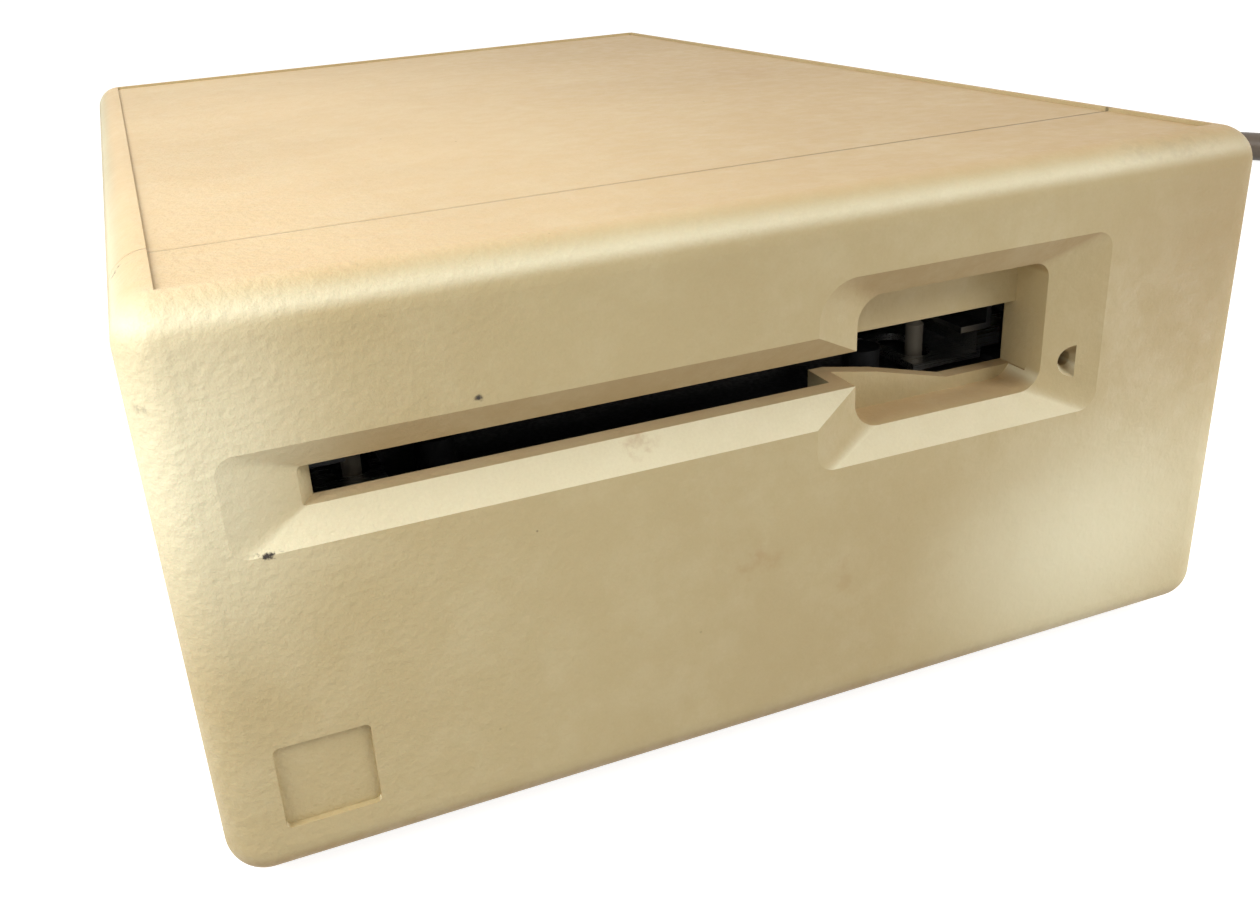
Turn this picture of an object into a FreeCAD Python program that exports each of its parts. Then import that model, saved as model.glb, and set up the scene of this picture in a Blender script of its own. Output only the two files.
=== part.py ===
"""External 3.5-inch disk drive: moulded case, shielded mechanism and captive cable.

The origin lies on the table, midway between the front and back of the case. +X is right, +Y is to the back
and +Z is up, in millimetres.
"""

import FreeCAD
import Part

import math
import os

from FreeCAD import Vector

# Case, feet and wall
CASE_LEFT = -71.0
CASE_RIGHT = 68.6
CASE_D = 198.0
CASE_H = 69.0
FOOT_H = 2.5
WALL = 2.5
EDGE_R = 4.8
FRONT_R = 4.6
REAR_R = 4.4
CAP_D = 23.0
LIP = 1.2
LIP_DEPTH = 3.0
PANEL_STEP = 0.5
PANEL_MARGIN = 4.9
PANEL_FRONT = 5.0

# Openings of the front face, as x and z on the face and as depth behind it
BEVEL_D = 2.4
POCKET_D = 8.0
SLOT_LEFT = -54.1
SLOT_RIGHT = 37.6
SLOT_LOW = 47.2
SLOT_HIGH = 51.7
POCKET_LEFT = 10.1
POCKET_LOW = 41.4
POCKET_HIGH = 58.3
PINHOLE_X = 41.3
PINHOLE_Z = 44.8
BADGE_X = -58.65
BADGE_Z = 14.95
BADGE_SIZE = 10.9
BADGE_DEPTH = 0.8

# Mechanism: a 101.6 mm wide frame centred behind the slot
MID_X = (SLOT_LEFT + SLOT_RIGHT) / 2
FRAME_W = 101.6
FRAME_WALL = 2.8
FRAME_FRONT = -86.0
FRAME_REAR = 56.0
FRAME_LOW = 11.0
FRAME_HIGH = 54.0
DECK_LOW = 38.0
DECK_HIGH = 40.5
SPINDLE_Y = -41.0
HUB_TOP = 45.2
HUB_BORE_R = 13.8
HEAD_Y = -1.5
MEDIA_Z = 46.65
BOARD_TOP = 22.6
LOGIC_TOP = 15.6
CARRIER_DROP = 2.8
PLATE_TRAVEL = 5.0
CARRIER_HALF = 45.6
SHEET = 0.8
CARRIER_LOW = 46.5
CARRIER_ROOF = 51.6
CARRIER_REAR = 9.0
PIN_Z = 49.5
PIN_R = 1.5
PIN_YS = (-72.0, -10.0)
WING_IN = 46.7
WING_OUT = 47.5
ARM_TILT_DEG = 10.3
ARM_PIVOT_Y = 28.0
ARM_PIVOT_Z = 50.2
SCREW_X = 8.75
SCREW_Z = 44.0
ROD_LEFT_X = -22.25
ROD_RIGHT_X = 0.75
ROD_Z = 42.9
ROD_R = 1.5
LATCH_PIVOT = (-38.0, 20.0)
LATCH_REACH = 12.0
LATCH_Z = 42.6
SHUTTER_PIVOT = (MID_X - 36.0, -2.0)
SHUTTER_REACH = 40.0
SHUTTER_START_DEG = -52.0
SWITCH_PLACES = {
    "write_protect": (MID_X - 40.0, -78.0),
    "disk_in": (MID_X - 40.0, 2.0),
    "density": (MID_X + 40.0, -78.0),
}
PLUNGER_R = 1.2

# Eject gear train, module in millimetres
GEAR_MODULE = 0.6
WHEEL_TEETH = 30
PINION_TEETH = 12
BACKLASH = 0.12
GEAR_Z = 44.0
GEAR_THICK = 2.0
GEAR_SHAFT_R = 1.5
CAM_AXIS = (29.5, 22.0)
CAM_ORBIT = 5.0
IDLER_DIRECTION_DEG = 92.0
MOTOR_DIRECTION_DEG = 98.0

# Cable
CORD_R = 5.0
PIN_PITCH = 2.76
CORD_EXIT = (45.0, 16.0)
RELIEF_END = 133.0
RING_PITCH = 5.6
COIL_CENTRE = (262.0, -26.0)
COIL_R = 52.0
COIL_START_DEG = -25.0
COIL_TURNS = 1.16
ROUTE = [
    (45, 133, 16), (45, 160, 13.5), (50, 190, 7), (66, 218, 5), (98, 240, 5), (140, 246.5, 5),
    (186, 235, 5), (231, 210, 5), (275, 178, 5), (316, 138, 5), (337, 95, 5), (343, 47, 5),
    (331, -3, 5),
]
TAIL = [(228, -82, 11.0), (192, -85, 7.5)]

# Derived planes of the case
FRONT = -CASE_D / 2
REAR = CASE_D / 2
LOW = FOOT_H
HIGH = FOOT_H + CASE_H
CASE_X = (CASE_LEFT + CASE_RIGHT) / 2
CASE_HALF = (CASE_RIGHT - CASE_LEFT) / 2
SEAM = FRONT + CAP_D
PARTING = LOW + EDGE_R
X_AXIS = Vector(1, 0, 0)
Y_AXIS = Vector(0, 1, 0)
Z_AXIS = Vector(0, 0, 1)
NODES = {}


def block(x0, x1, y0, y1, z0, z1):
    """Axis-aligned block between two values on each axis."""
    return Part.makeBox(x1 - x0, y1 - y0, z1 - z0, Vector(x0, y0, z0))


def rod(start, axis, radius, length):
    """Round bar from a start point along an axis."""
    return Part.makeCylinder(radius, length, Vector(*start), axis)


def ring(start, axis, outer, inner, length):
    """Round tube from a start point along an axis."""
    return rod(start, axis, outer, length).cut(rod(start, axis, inner, length))


def plate_xz(points, y0, y1):
    """Flat outline in x and z, carried along y."""
    face = Part.Face(Part.makePolygon([Vector(x, y0, z) for x, z in points + points[:1]]))
    return face.extrude(Vector(0, y1 - y0, 0))


def plate_xy(points, z0, z1):
    """Flat outline in x and y, carried along z."""
    face = Part.Face(Part.makePolygon([Vector(x, y, z0) for x, y in points + points[:1]]))
    return face.extrude(Vector(0, 0, z1 - z0))


def plate_yz(points, x0, x1):
    """Flat outline in y and z, carried along x."""
    face = Part.Face(Part.makePolygon([Vector(x0, y, z) for y, z in points + points[:1]]))
    return face.extrude(Vector(x1 - x0, 0, 0))


def polygon(cx, cy, radius, sides):
    """Corners of a regular outline, used for small round pieces that are out of sight."""
    angles = [2 * math.pi * (corner + 0.5) / sides for corner in range(sides)]
    return [(cx + radius * math.cos(angle), cy + radius * math.sin(angle)) for angle in angles]


def fused(shapes):
    """One shape from several that touch."""
    first, rest = shapes[0], shapes[1:]
    return first.fuse(rest).removeSplitter() if rest else first


def mirrored(shape):
    """The shape on the other side of the mechanism's middle plane."""
    return shape.mirror(Vector(MID_X, 0, 0), X_AXIS)


def both_sides(shape):
    """A shape and its mirror image about the mechanism's middle plane."""
    return [shape, mirrored(shape)]


def frame_wire(x0, x1, z0, z1, radii, y):
    """Rounded rectangle in the plane of a y value; radii go from low left, anticlockwise."""
    low_left, low_right, high_right, high_left = radii
    half = math.sqrt(0.5)

    def arc(cx, cz, radius, quarter):
        turn = quarter * math.pi / 2
        points = [
            Vector(cx + radius * math.cos(turn + a), y, cz + radius * math.sin(turn + a))
            for a in (0, math.asin(half), math.pi / 2)
        ]
        return Part.Arc(*points)

    arcs = [
        arc(x0 + low_left, z0 + low_left, low_left, 2),
        arc(x1 - low_right, z0 + low_right, low_right, 3),
        arc(x1 - high_right, z1 - high_right, high_right, 0),
        arc(x0 + high_left, z1 - high_left, high_left, 1),
    ]
    edges = []
    for index, here in enumerate(arcs):
        after = arcs[(index + 1) % 4]
        edges += [here.toShape(), Part.makeLine(here.EndPoint, after.StartPoint)]
    return Part.Wire(edges)


def rounded_prism(x0, x1, z0, z1, radius, y0, y1):
    """Rounded rectangle carried along y."""
    radii = (radius,) * 4
    return Part.Face(frame_wire(x0, x1, z0, z1, radii, y0)).extrude(Vector(0, y1 - y0, 0))


def rounded_slot(cx, y0, y1, half_width, z0, z1):
    """Long hole with round ends that runs along y, cut along z."""
    body = block(cx - half_width, cx + half_width, y0, y1, z0, z1)
    ends = [rod((cx, y, z0), Z_AXIS, half_width, z1 - z0) for y in (y0, y1)]
    return fused([body] + ends)


def tapered_recess(outer, inner, outer_radii, inner_radii):
    """Sloping cut from an outline on the face to a smaller one at the bevel's depth."""
    start = FRONT - 0.001
    wires = [
        frame_wire(*outer, outer_radii, start),
        frame_wire(*inner, inner_radii, FRONT + BEVEL_D),
    ]
    return Part.makeLoft(wires, True, True)


def case_outside():
    """The whole case as one rounded block."""
    body = rounded_prism(CASE_LEFT, CASE_RIGHT, LOW, HIGH, EDGE_R, FRONT, REAR)

    def rim(y):
        return [e for e in body.Edges if all(abs(v.Y - y) < 1e-6 for v in e.Vertexes)]

    body = body.makeFillet(FRONT_R, rim(FRONT))
    return body.makeFillet(REAR_R, rim(REAR))


def inside_prism(y0, y1, inset=WALL):
    """The room inside the walls between two depths."""
    radius = max(EDGE_R - inset, 0.8)
    return rounded_prism(CASE_LEFT + inset, CASE_RIGHT - inset, LOW + inset, HIGH - inset, radius, y0, y1)


def top_panel_cut():
    """Shallow sunk panel of the top, from the crest of the front rounding to the rear one."""
    left, right = CASE_LEFT + PANEL_MARGIN, CASE_RIGHT - PANEL_MARGIN
    return block(left, right, FRONT + PANEL_FRONT, REAR - PANEL_FRONT, HIGH - PANEL_STEP, HIGH + 1)


def front_bezel():
    """Front cap with the stepped disk slot, thumb pocket, pinhole and empty badge recess."""
    cap = case_outside().common(block(CASE_LEFT, CASE_RIGHT, FRONT, SEAM, LOW, HIGH))
    shell = cap.cut(inside_prism(FRONT + WALL, SEAM))
    lip_outer = inside_prism(SEAM - LIP_DEPTH, SEAM + LIP_DEPTH)
    lip = lip_outer.cut(inside_prism(SEAM - LIP_DEPTH, SEAM + LIP_DEPTH, WALL + LIP))
    wall_y = FRONT + WALL - 0.5
    wells = [
        block(-66.5, 12.0, wall_y, FRONT + 5.0, 43.0, 56.0),
        block(2.0, 46.5, wall_y, FRONT + BEVEL_D + 2.0, 36.5, 63.3),
        rounded_prism(POCKET_LEFT - 2, SLOT_RIGHT + 2, POCKET_LOW - 2, POCKET_HIGH + 2, 5.0, wall_y,
                      FRONT + POCKET_D + 2),
    ]
    ribs = [block(x - 0.8, x + 0.8, wall_y, SEAM - 4, HIGH - 8, HIGH - WALL + 0.2) for x in (-40, 0, 40)]
    ribs += [block(x - 0.8, x + 0.8, wall_y, SEAM - 4, LOW + WALL - 0.2, LOW + 8) for x in (-40, 0, 40)]
    bezel = fused([shell, lip] + wells + ribs)
    bevel_y = FRONT + BEVEL_D
    narrow = tapered_recess(
        (-64.2, 16.0, 43.7, 55.2), (-56.2, 16.0, SLOT_LOW, SLOT_HIGH), (2, 0.5, 0.5, 2), (0.6,) * 4)
    wide = tapered_recess(
        (3.5, 44.8, 38.1, 61.7), (POCKET_LEFT, SLOT_RIGHT, POCKET_LOW, POCKET_HIGH),
        (2.5, 2.5, 2.5, 5), (3.5, 3.0, 2.2, 3.5))
    pocket = Part.Face(
        frame_wire(POCKET_LEFT, SLOT_RIGHT, POCKET_LOW, POCKET_HIGH, (3.5, 3.0, 2.2, 3.5), bevel_y - 0.01)
    ).extrude(Vector(0, POCKET_D - BEVEL_D, 0))
    start_y, end_y, end_x = bevel_y - 0.01, FRONT + 6.0, POCKET_LEFT + 1.0
    opening = [(-56.2, start_y), (end_x, start_y), (end_x, end_y), (SLOT_LEFT, end_y)]
    lead_in = plate_xy(opening, SLOT_LOW, SLOT_HIGH)
    mouth = plate_xz(
        [(SLOT_LEFT, SLOT_LOW), (POCKET_LEFT, SLOT_LOW), (16.9, 45.9), (27.5, 43.1), (SLOT_RIGHT, 43.1),
         (SLOT_RIGHT, SLOT_HIGH), (SLOT_LEFT, SLOT_HIGH)], FRONT + 4.9, SEAM)
    sink = Part.makeCone(2.2, 1.0, 1.6, Vector(PINHOLE_X, FRONT + 1.0, PINHOLE_Z), Y_AXIS)
    hole = rod((PINHOLE_X, FRONT + 1, PINHOLE_Z), Y_AXIS, 1.0, 8)
    half = BADGE_SIZE / 2
    badge = rounded_prism(BADGE_X - half, BADGE_X + half, BADGE_Z - half, BADGE_Z + half, 0.7,
                          FRONT - 1, FRONT + BADGE_DEPTH)
    for cut in (narrow, wide, pocket, lead_in, mouth, sink, hole, badge, top_panel_cut()):
        bezel = bezel.cut(cut)
    NODES["front_bezel"] = bezel


BOSS_PLACES = [(CASE_X + side * (CASE_HALF - 6.4), y) for side in (-1, 1) for y in (-50.0, 75.0)]
FOOT_PLACES = [(CASE_X + side * (CASE_HALF - 16.0), y) for side in (-1, 1) for y in (-64.0, 84.0)]


def wall_x(x):
    """Middle of the side wall that is nearer to x."""
    return CASE_X + math.copysign(CASE_HALF - WALL / 2, x)


def rear_shell():
    """Case walls behind the cap, still in one piece."""
    outer = case_outside().common(block(CASE_LEFT, CASE_RIGHT, SEAM, REAR, LOW, HIGH))
    return outer.cut(inside_prism(SEAM, REAR - WALL))


def upper_cover():
    """Top, sides and back of the case, with bosses inside for the screws from below."""
    cover = rear_shell().cut(block(CASE_LEFT, CASE_RIGHT, SEAM, REAR, LOW, PARTING))
    bosses = [rod((x, y, PARTING + 1), Z_AXIS, 3.1, HIGH - WALL - PARTING - 0.5) for x, y in BOSS_PLACES]
    gussets = [
        block(min(x, wall_x(x)), max(x, wall_x(x)), y - 0.6, y + 0.6, 20, HIGH - 2)
        for x, y in BOSS_PLACES
    ]
    cover = fused([cover] + bosses + gussets)
    for x, y in BOSS_PLACES:
        cover = cover.cut(rod((x, y, PARTING), Z_AXIS, 1.5, 14))
    cover = cover.cut(top_panel_cut())
    exit_x, exit_z = CORD_EXIT
    NODES["upper_cover"] = cover.cut(rod((exit_x, REAR - 4, exit_z), Y_AXIS, 6.1, 6))


def base_pan():
    """Floor of the case with vents, foot seats, screw wells and an inner lip along the parting line."""
    pan = rear_shell().common(block(CASE_LEFT, CASE_RIGHT, SEAM, REAR, LOW, PARTING))
    strip_x = [CASE_X + side * (CASE_HALF - WALL - LIP / 2) for side in (-1, 1)]
    half, low, high = LIP / 2, PARTING - 2.5, PARTING + 3.0
    strips = [block(x - half, x + half, SEAM + 6, REAR - 8, low, high) for x in strip_x]
    bosses = [rod((x, y, LOW + 1), Z_AXIS, 3.1, PARTING - LOW) for x, y in BOSS_PLACES]
    stands = [rod((x, y, LOW + 2), Z_AXIS, 4.0, 1.7) for x in (-50.0, 50.0) for y in (-50.0, 60.0)]
    for _, y in BOSS_PLACES:
        gap = block(CASE_LEFT, CASE_RIGHT, y - 4.0, y + 4.0, PARTING + 0.01, PARTING + 4)
        strips = [strip.cut(gap) for strip in strips]
    pan = fused([pan] + strips + bosses + stands)
    cuts = [rod((x, y, LOW - 1), Z_AXIS, 1.7, 12) for x, y in BOSS_PLACES]
    cuts += [rod((x, y, LOW - 1), Z_AXIS, 3.0, 2.6) for x, y in BOSS_PLACES]
    cuts += [rod((x, y, LOW - 1), Z_AXIS, 6.3, 1.6) for x, y in FOOT_PLACES]
    cuts += [rounded_slot(-31.5 + 9 * i, -20.0, 12.0, 1.25, LOW - 1, LOW + 3) for i in range(8)]
    for cut in cuts:
        pan = pan.cut(cut)
    NODES["base_pan"] = pan


def feet_and_screws():
    """Four glued rubber feet and the four screws that close the case from below."""
    feet = []
    for x, y in FOOT_PLACES:
        foot = rod((x, y, 0), Z_AXIS, 6.2, FOOT_H + 0.6)
        feet.append(foot.makeChamfer(0.6, [e for e in foot.Edges if abs(e.CenterOfMass.z) < 1e-6]))
    NODES["rubber_feet"] = Part.Compound(feet)
    screws = []
    for x, y in BOSS_PLACES:
        drive_slot = block(x - 3, x + 3, y - 0.4, y + 0.4, LOW, LOW + 0.7)
        head = rod((x, y, LOW + 0.1), Z_AXIS, 2.7, 1.5).cut(drive_slot)
        screws.append(fused([head, rod((x, y, LOW + 1.5), Z_AXIS, 1.35, 13.5)]))
    NODES["case_screws"] = Part.Compound(screws)


def shields():
    """Two folded halves of the screening can; the lid's skirts lap outside the tray's walls."""
    x0, x1, y0, y1, thin = -60.2, 58.2, -72.5, 93.0, 0.6
    floor = LOW + 3.7
    room = block(x0 + thin, x1 - thin, y0 - 1, y1 - thin, floor + thin, 41)
    tray = block(x0, x1, y0, y1, floor, 40.0).cut(room)
    tray = tray.cut(rod((CORD_EXIT[0], y1 - 2, CORD_EXIT[1]), Y_AXIS, 5.4, 4))
    for column in range(8):
        tray = tray.cut(block(-32.5 + 9 * column, -30.5 + 9 * column, -20.0, 12.0, LOW + 3, LOW + 5))
    NODES["shield_tray"] = tray
    gap = thin
    lid = block(x0 - gap, x1 + gap, y0, y1 + gap, 36.0, 66.6)
    lid = lid.cut(block(x0, x1, y0 - 1, y1, 35, 66.6 - thin))
    for column in range(9):
        x = -38.0 + 9 * column
        lid = lid.cut(fused([block(x, x + 4, 72.0, 76.0, 60, 70), block(x, x + 4, 80.0, 84.0, 60, 70)]))
    NODES["shield_lid"] = lid


def drive_chassis():
    """Die-cast frame: two walls, a deck with openings for motor and heads, and datum posts."""
    half = FRAME_W / 2
    left, right = MID_X - half, MID_X + half
    wall = block(left, left + FRAME_WALL, FRAME_FRONT, FRAME_REAR, FRAME_LOW, FRAME_HIGH)
    for y in PIN_YS:
        low, high = PIN_Z - CARRIER_DROP - 0.3, PIN_Z + 0.3
        x0 = left - 1
        slot = block(x0, x0 + 5, y - 1.8, y + 1.8, low, high)
        ends = [rod((x0, y, z), X_AXIS, 1.8, 5) for z in (low, high)]
        wall = wall.cut(fused([slot] + ends))
    for y in (-74, -40, 8):
        wall = wall.cut(block(left - 1, left + 5, y, y + 24, FRAME_LOW + 6, FRAME_LOW + 18))
    for y in (-60.0, 0.0):
        wall = wall.cut(rod((left - 1, y, FRAME_LOW + 3), X_AXIS, 1.25, 6))
    deck = block(left, right, FRAME_FRONT, FRAME_REAR, DECK_LOW, DECK_HIGH)
    deck = deck.cut(rod((MID_X, SPINDLE_Y, DECK_LOW - 1), Z_AXIS, HUB_BORE_R, 5))
    deck = deck.cut(block(-27.5, 20.5, -26.5, 39.5, DECK_LOW - 1, DECK_HIGH + 1))
    for x, y in SWITCH_PLACES.values():
        deck = deck.cut(rod((x, y, DECK_LOW - 1), Z_AXIS, 2.1, 5))
    deck = deck.cut(rod((*gear_axes()[2], DECK_LOW - 1), Z_AXIS, 1.6, 5))
    posts = []
    for x, y in ((-30, -80), (30, -80), (-33, -4), (33, -4)):
        posts.append(rod((MID_X + x, y, DECK_HIGH - 0.5), Z_AXIS, 2.5, 45.0 - DECK_HIGH + 0.5))
    for x in (-33, 33):
        posts.append(rod((MID_X + x, -4, DECK_HIGH), Z_AXIS, 1.4, 46.4 - DECK_HIGH))
    for x in (-33, 33):
        for y in (-78.5, -3.5):
            posts.append(rod((MID_X + x, y, BOARD_TOP), Z_AXIS, 2.5, DECK_LOW - BOARD_TOP + 0.5))
    for x, y in gear_axes()[:2]:
        posts.append(rod((x, y, DECK_HIGH - 0.5), Z_AXIS, GEAR_SHAFT_R, 49.0 - DECK_HIGH))
    posts.append(rod((*LATCH_PIVOT, DECK_HIGH - 0.5), Z_AXIS, 1.5, 4.6))
    lugs = []
    for y in (-52.0, 40.0):
        lug = block(MID_X + 40.0, right - FRAME_WALL + 0.2, y, y + 6, LOGIC_TOP, LOGIC_TOP + 2.4)
        lugs += both_sides(lug)
    skirt = block(left, right, FRAME_REAR - 2.5, FRAME_REAR, FRAME_LOW + 12, DECK_HIGH)
    opening = block(MID_X - 30, MID_X + 30, FRAME_REAR - 3, FRAME_REAR + 1, FRAME_LOW + 18, DECK_LOW - 4)
    skirt = skirt.cut(opening)
    ribs = [block(x - 1, x + 1, -84.0, -58.0, DECK_LOW - 4, DECK_LOW + 0.2) for x in (-38.0, MID_X, 22.0)]
    clips = []
    for y in (-29.5, 39.5):
        clips.append(block(ROD_LEFT_X - 3, ROD_LEFT_X + 3, y, y + 3, DECK_LOW, ROD_Z + 2.6))
    for y in (-29.5, 12.0):
        clips.append(block(ROD_RIGHT_X - 3, ROD_RIGHT_X + 3, y, y + 3, DECK_LOW, ROD_Z + 2.6))
    clips.append(block(-2.0, 20.5, 12.0, 15.0, DECK_LOW, DECK_HIGH))
    clips.append(block(SCREW_X - 4, SCREW_X + 4, -29.5, -26.5, DECK_LOW, SCREW_Z + 2.0))
    bearing = rod((SCREW_X, -30, SCREW_Z), Y_AXIS, 1.55, 5)
    frame = fused(both_sides(wall) + [deck, skirt] + posts + ribs + clips + lugs)
    frame = frame.cut(block(right - FRAME_WALL - 0.5, right + 1, FRAME_FRONT - 1, -76.0, 41.5, 48.5))
    frame = frame.cut(rod((ROD_LEFT_X, -27.5, ROD_Z), Y_AXIS, ROD_R, 69))
    frame = frame.cut(rod((ROD_RIGHT_X, -27.5, ROD_Z), Y_AXIS, ROD_R, 41.5))
    NODES["drive_chassis"] = frame.cut(bearing)


def frame_brackets():
    """Four angle brackets between the tray and the frame's walls, each with its screw."""
    half = FRAME_W / 2
    foot_z = LOW + 4.3
    brackets, screws = [], []
    web_x = MID_X - half + FRAME_WALL
    for y in (-60.0, 0.0):
        foot = block(web_x, web_x + 6.0, y - 6.0, y + 6.0, foot_z, foot_z + 1.2)
        web = block(web_x, web_x + 1.2, y - 6.0, y + 6.0, foot_z, FRAME_LOW + 6)
        bracket = fused([foot, web]).cut(rod((web_x - 1, y, FRAME_LOW + 3), X_AXIS, 1.3, 3))
        head = rod((web_x + 1.2, y, FRAME_LOW + 3), X_AXIS, 2.6, 1.4)
        shank = rod((web_x - 2.4, y, FRAME_LOW + 3), X_AXIS, 1.2, 3.6)
        brackets += both_sides(bracket)
        screws += both_sides(fused([head, shank]))
    NODES["mounting_brackets"] = Part.Compound(brackets)
    NODES["bracket_screws"] = Part.Compound(screws)


def disk_carrier():
    """Folded sheet cage that lowers the disk: roof, side channels, flanges and guide pins."""
    y0, y1 = FRAME_FRONT, CARRIER_REAR
    outer = CARRIER_HALF + SHEET
    roof = block(MID_X - outer, MID_X + outer, y0, y1, CARRIER_ROOF, CARRIER_ROOF + SHEET)
    roof = roof.cut(block(-20.0, 4.0, -30.0, y1 + 1, CARRIER_ROOF - 1, CARRIER_ROOF + 2))
    roof = roof.cut(rod((MID_X, SPINDLE_Y, CARRIER_ROOF - 1), Z_AXIS, 13.0, 3))
    pivot_x, pivot_y = SHUTTER_PIVOT
    track = ring((pivot_x, pivot_y, CARRIER_ROOF - 1), Z_AXIS, SHUTTER_REACH + 2.6, SHUTTER_REACH - 2.6, 3)
    reach = SHUTTER_REACH + 6
    wedge = plate_xy(
        [(pivot_x, pivot_y)] + [
            (pivot_x + reach * math.cos(math.radians(a)), pivot_y + reach * math.sin(math.radians(a)))
            for a in (-58, -30, 2)
        ], CARRIER_ROOF - 2, CARRIER_ROOF + 3)
    roof = roof.cut(track.common(wedge))
    x0 = MID_X - CARRIER_HALF - SHEET
    side = block(x0, x0 + SHEET, y0, y1, CARRIER_LOW, CARRIER_ROOF + SHEET)
    flange = block(x0, x0 + SHEET + 4, y0, y1, CARRIER_LOW, CARRIER_LOW + SHEET)
    for y in PIN_YS:
        flange = flange.cut(block(x0 + 2.5, x0 + 6, y - 5, y + 5, CARRIER_LOW - 1, CARRIER_LOW + 2))
    pins = [rod((x0 + 0.1, y, PIN_Z), -X_AXIS, PIN_R, 4.0) for y in PIN_YS]
    channel = fused([side, flange] + pins)
    NODES["disk_carrier"] = fused([roof] + both_sides(channel))
    spring_y = -55.0
    top = CARRIER_ROOF + SHEET
    leaf = block(MID_X + 20, MID_X + 36, spring_y, spring_y + 5, top, top + 0.4)
    NODES["disk_leaf_springs"] = Part.Compound(both_sides(leaf))


def slide_plate():
    """Cam plate under the disk: its inclined slots lower the carrier when it slides forward."""
    z0, z1 = DECK_HIGH + 0.5, DECK_HIGH + 1.5
    strip = block(MID_X - WING_OUT, MID_X - 36.5, -83.0, 6.0, z0, z1)
    wing = block(MID_X - WING_OUT, MID_X - WING_IN, -83.0, 6.0, z0, PIN_Z + 3.6)
    for y in PIN_YS:
        run, drop = PLATE_TRAVEL, CARRIER_DROP
        half = PIN_R + 0.25
        x0 = MID_X - WING_OUT - 1
        length = math.hypot(run, drop)
        nx, nz = drop / length * half, run / length * half
        points = [(y + nx, PIN_Z + nz), (y - nx, PIN_Z - nz),
                  (y + run - nx, PIN_Z - drop - nz), (y + run + nx, PIN_Z - drop + nz)]
        cut = fused([plate_yz(points, x0, x0 + 3), rod((x0, y, PIN_Z), X_AXIS, half, 3),
                     rod((x0, y + run, PIN_Z - drop), X_AXIS, half, 3)])
        wing = wing.cut(cut)
    for y in (-78.0, -4.0):
        strip = strip.cut(rounded_slot(MID_X - 40.0, y - 0.2, y + PLATE_TRAVEL + 0.2, 2.4, z0 - 1, z1 + 1))
    cross = block(MID_X - 37, MID_X + 37, -70.0, -62.0, z0, z1)
    push_tab = block(MID_X + WING_IN, PINHOLE_X + 1.0, -83.0, -82.0, PINHOLE_Z - 2.3, PINHOLE_Z + 2.2)
    cam_x, cam_y = CAM_AXIS
    tab_y = cam_y + CAM_ORBIT + 1.1
    eject_arm = block(cam_x + 3.0, cam_x + 7.0, 5.0, tab_y + 1, z0, z1)
    eject_tab = block(cam_x + 2.5, cam_x + 7.0, tab_y, tab_y + 1, z0, GEAR_Z - 0.4)
    latch_x, latch_y = LATCH_PIVOT[0] - LATCH_REACH, LATCH_PIVOT[1] + PLATE_TRAVEL / 2
    latch_arm = block(MID_X - WING_OUT, latch_x + 3, 5.0, latch_y + 3, z0, z1)
    latch_pin = rod((latch_x, latch_y, z0), Z_AXIS, 1.0, 3.2)
    sides = both_sides(fused([strip, wing]))
    plate = fused(sides + [cross, push_tab, eject_arm, eject_tab, latch_arm, latch_pin])
    x, y = SWITCH_PLACES["disk_in"]
    NODES["slide_plate"] = plate.cut(rounded_slot(x, y - 0.2, y + PLATE_TRAVEL + 0.6, 2.2, z0 - 1, z1 + 1))


def latch_lever():
    """Lever that the disk's leading edge turns; its slotted arm lets the cam plate go forward."""
    x, y = LATCH_PIVOT
    tilt = math.degrees(math.atan2(PLATE_TRAVEL / 2, LATCH_REACH))
    tip = x - LATCH_REACH
    fork = block(tip - 4.0, x, y - 2.4, y + 2.4, LATCH_Z, LATCH_Z + 1.0)
    fork = fork.cut(block(tip - 2.0, tip + 1.6, y - 1.25, y + 1.25, LATCH_Z - 1, LATCH_Z + 2))
    fork.rotate(Vector(x, y, 0), Z_AXIS, -tilt)
    taper = [(x - 2.5, y), (x + 0.4, y - 17.5), (x + 3.6, y - 17.5), (x + 2.5, y)]
    finger = plate_xy(taper, LATCH_Z, LATCH_Z + 1.0)
    feeler = rod((x + 2.0, y - 16.0, LATCH_Z), Z_AXIS, 1.3, 5.8)
    hub = rod((x, y, DECK_HIGH + 0.1), Z_AXIS, 3.2, LATCH_Z + 1.0 - DECK_HIGH)
    lever = fused([fork, finger, feeler, hub])
    NODES["latch_lever"] = lever.cut(rod((x, y, DECK_HIGH - 1), Z_AXIS, 1.56, 8))


def shutter_lever():
    """Lever on the carrier's roof whose pin slides the disk's metal shutter open."""
    x, y = SHUTTER_PIVOT
    base = CARRIER_ROOF + SHEET
    bar = block(x, x + SHUTTER_REACH, y - 2.0, y + 2.0, base + 0.1, base + 0.8)
    tip = rod((x + SHUTTER_REACH, y, base + 0.1), Z_AXIS, 2.2, 0.7)
    pin = rod((x + SHUTTER_REACH, y, CARRIER_ROOF - 3.1), Z_AXIS, 1.1, 4.2)
    hub = rod((x, y, base + 0.1), Z_AXIS, 3.4, 0.7)
    lever = fused([bar, tip, pin, hub]).cut(rod((x, y, base - 1), Z_AXIS, 1.06, 4))
    lever.rotate(Vector(x, y, 0), Z_AXIS, SHUTTER_START_DEG)
    NODES["shutter_lever"] = lever
    rivet = fused([rod((x, y, base), Z_AXIS, 1.0, 1.4), rod((x, y, base + 0.95), Z_AXIS, 2.0, 0.5)])
    NODES["shutter_rivet"] = rivet


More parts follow.
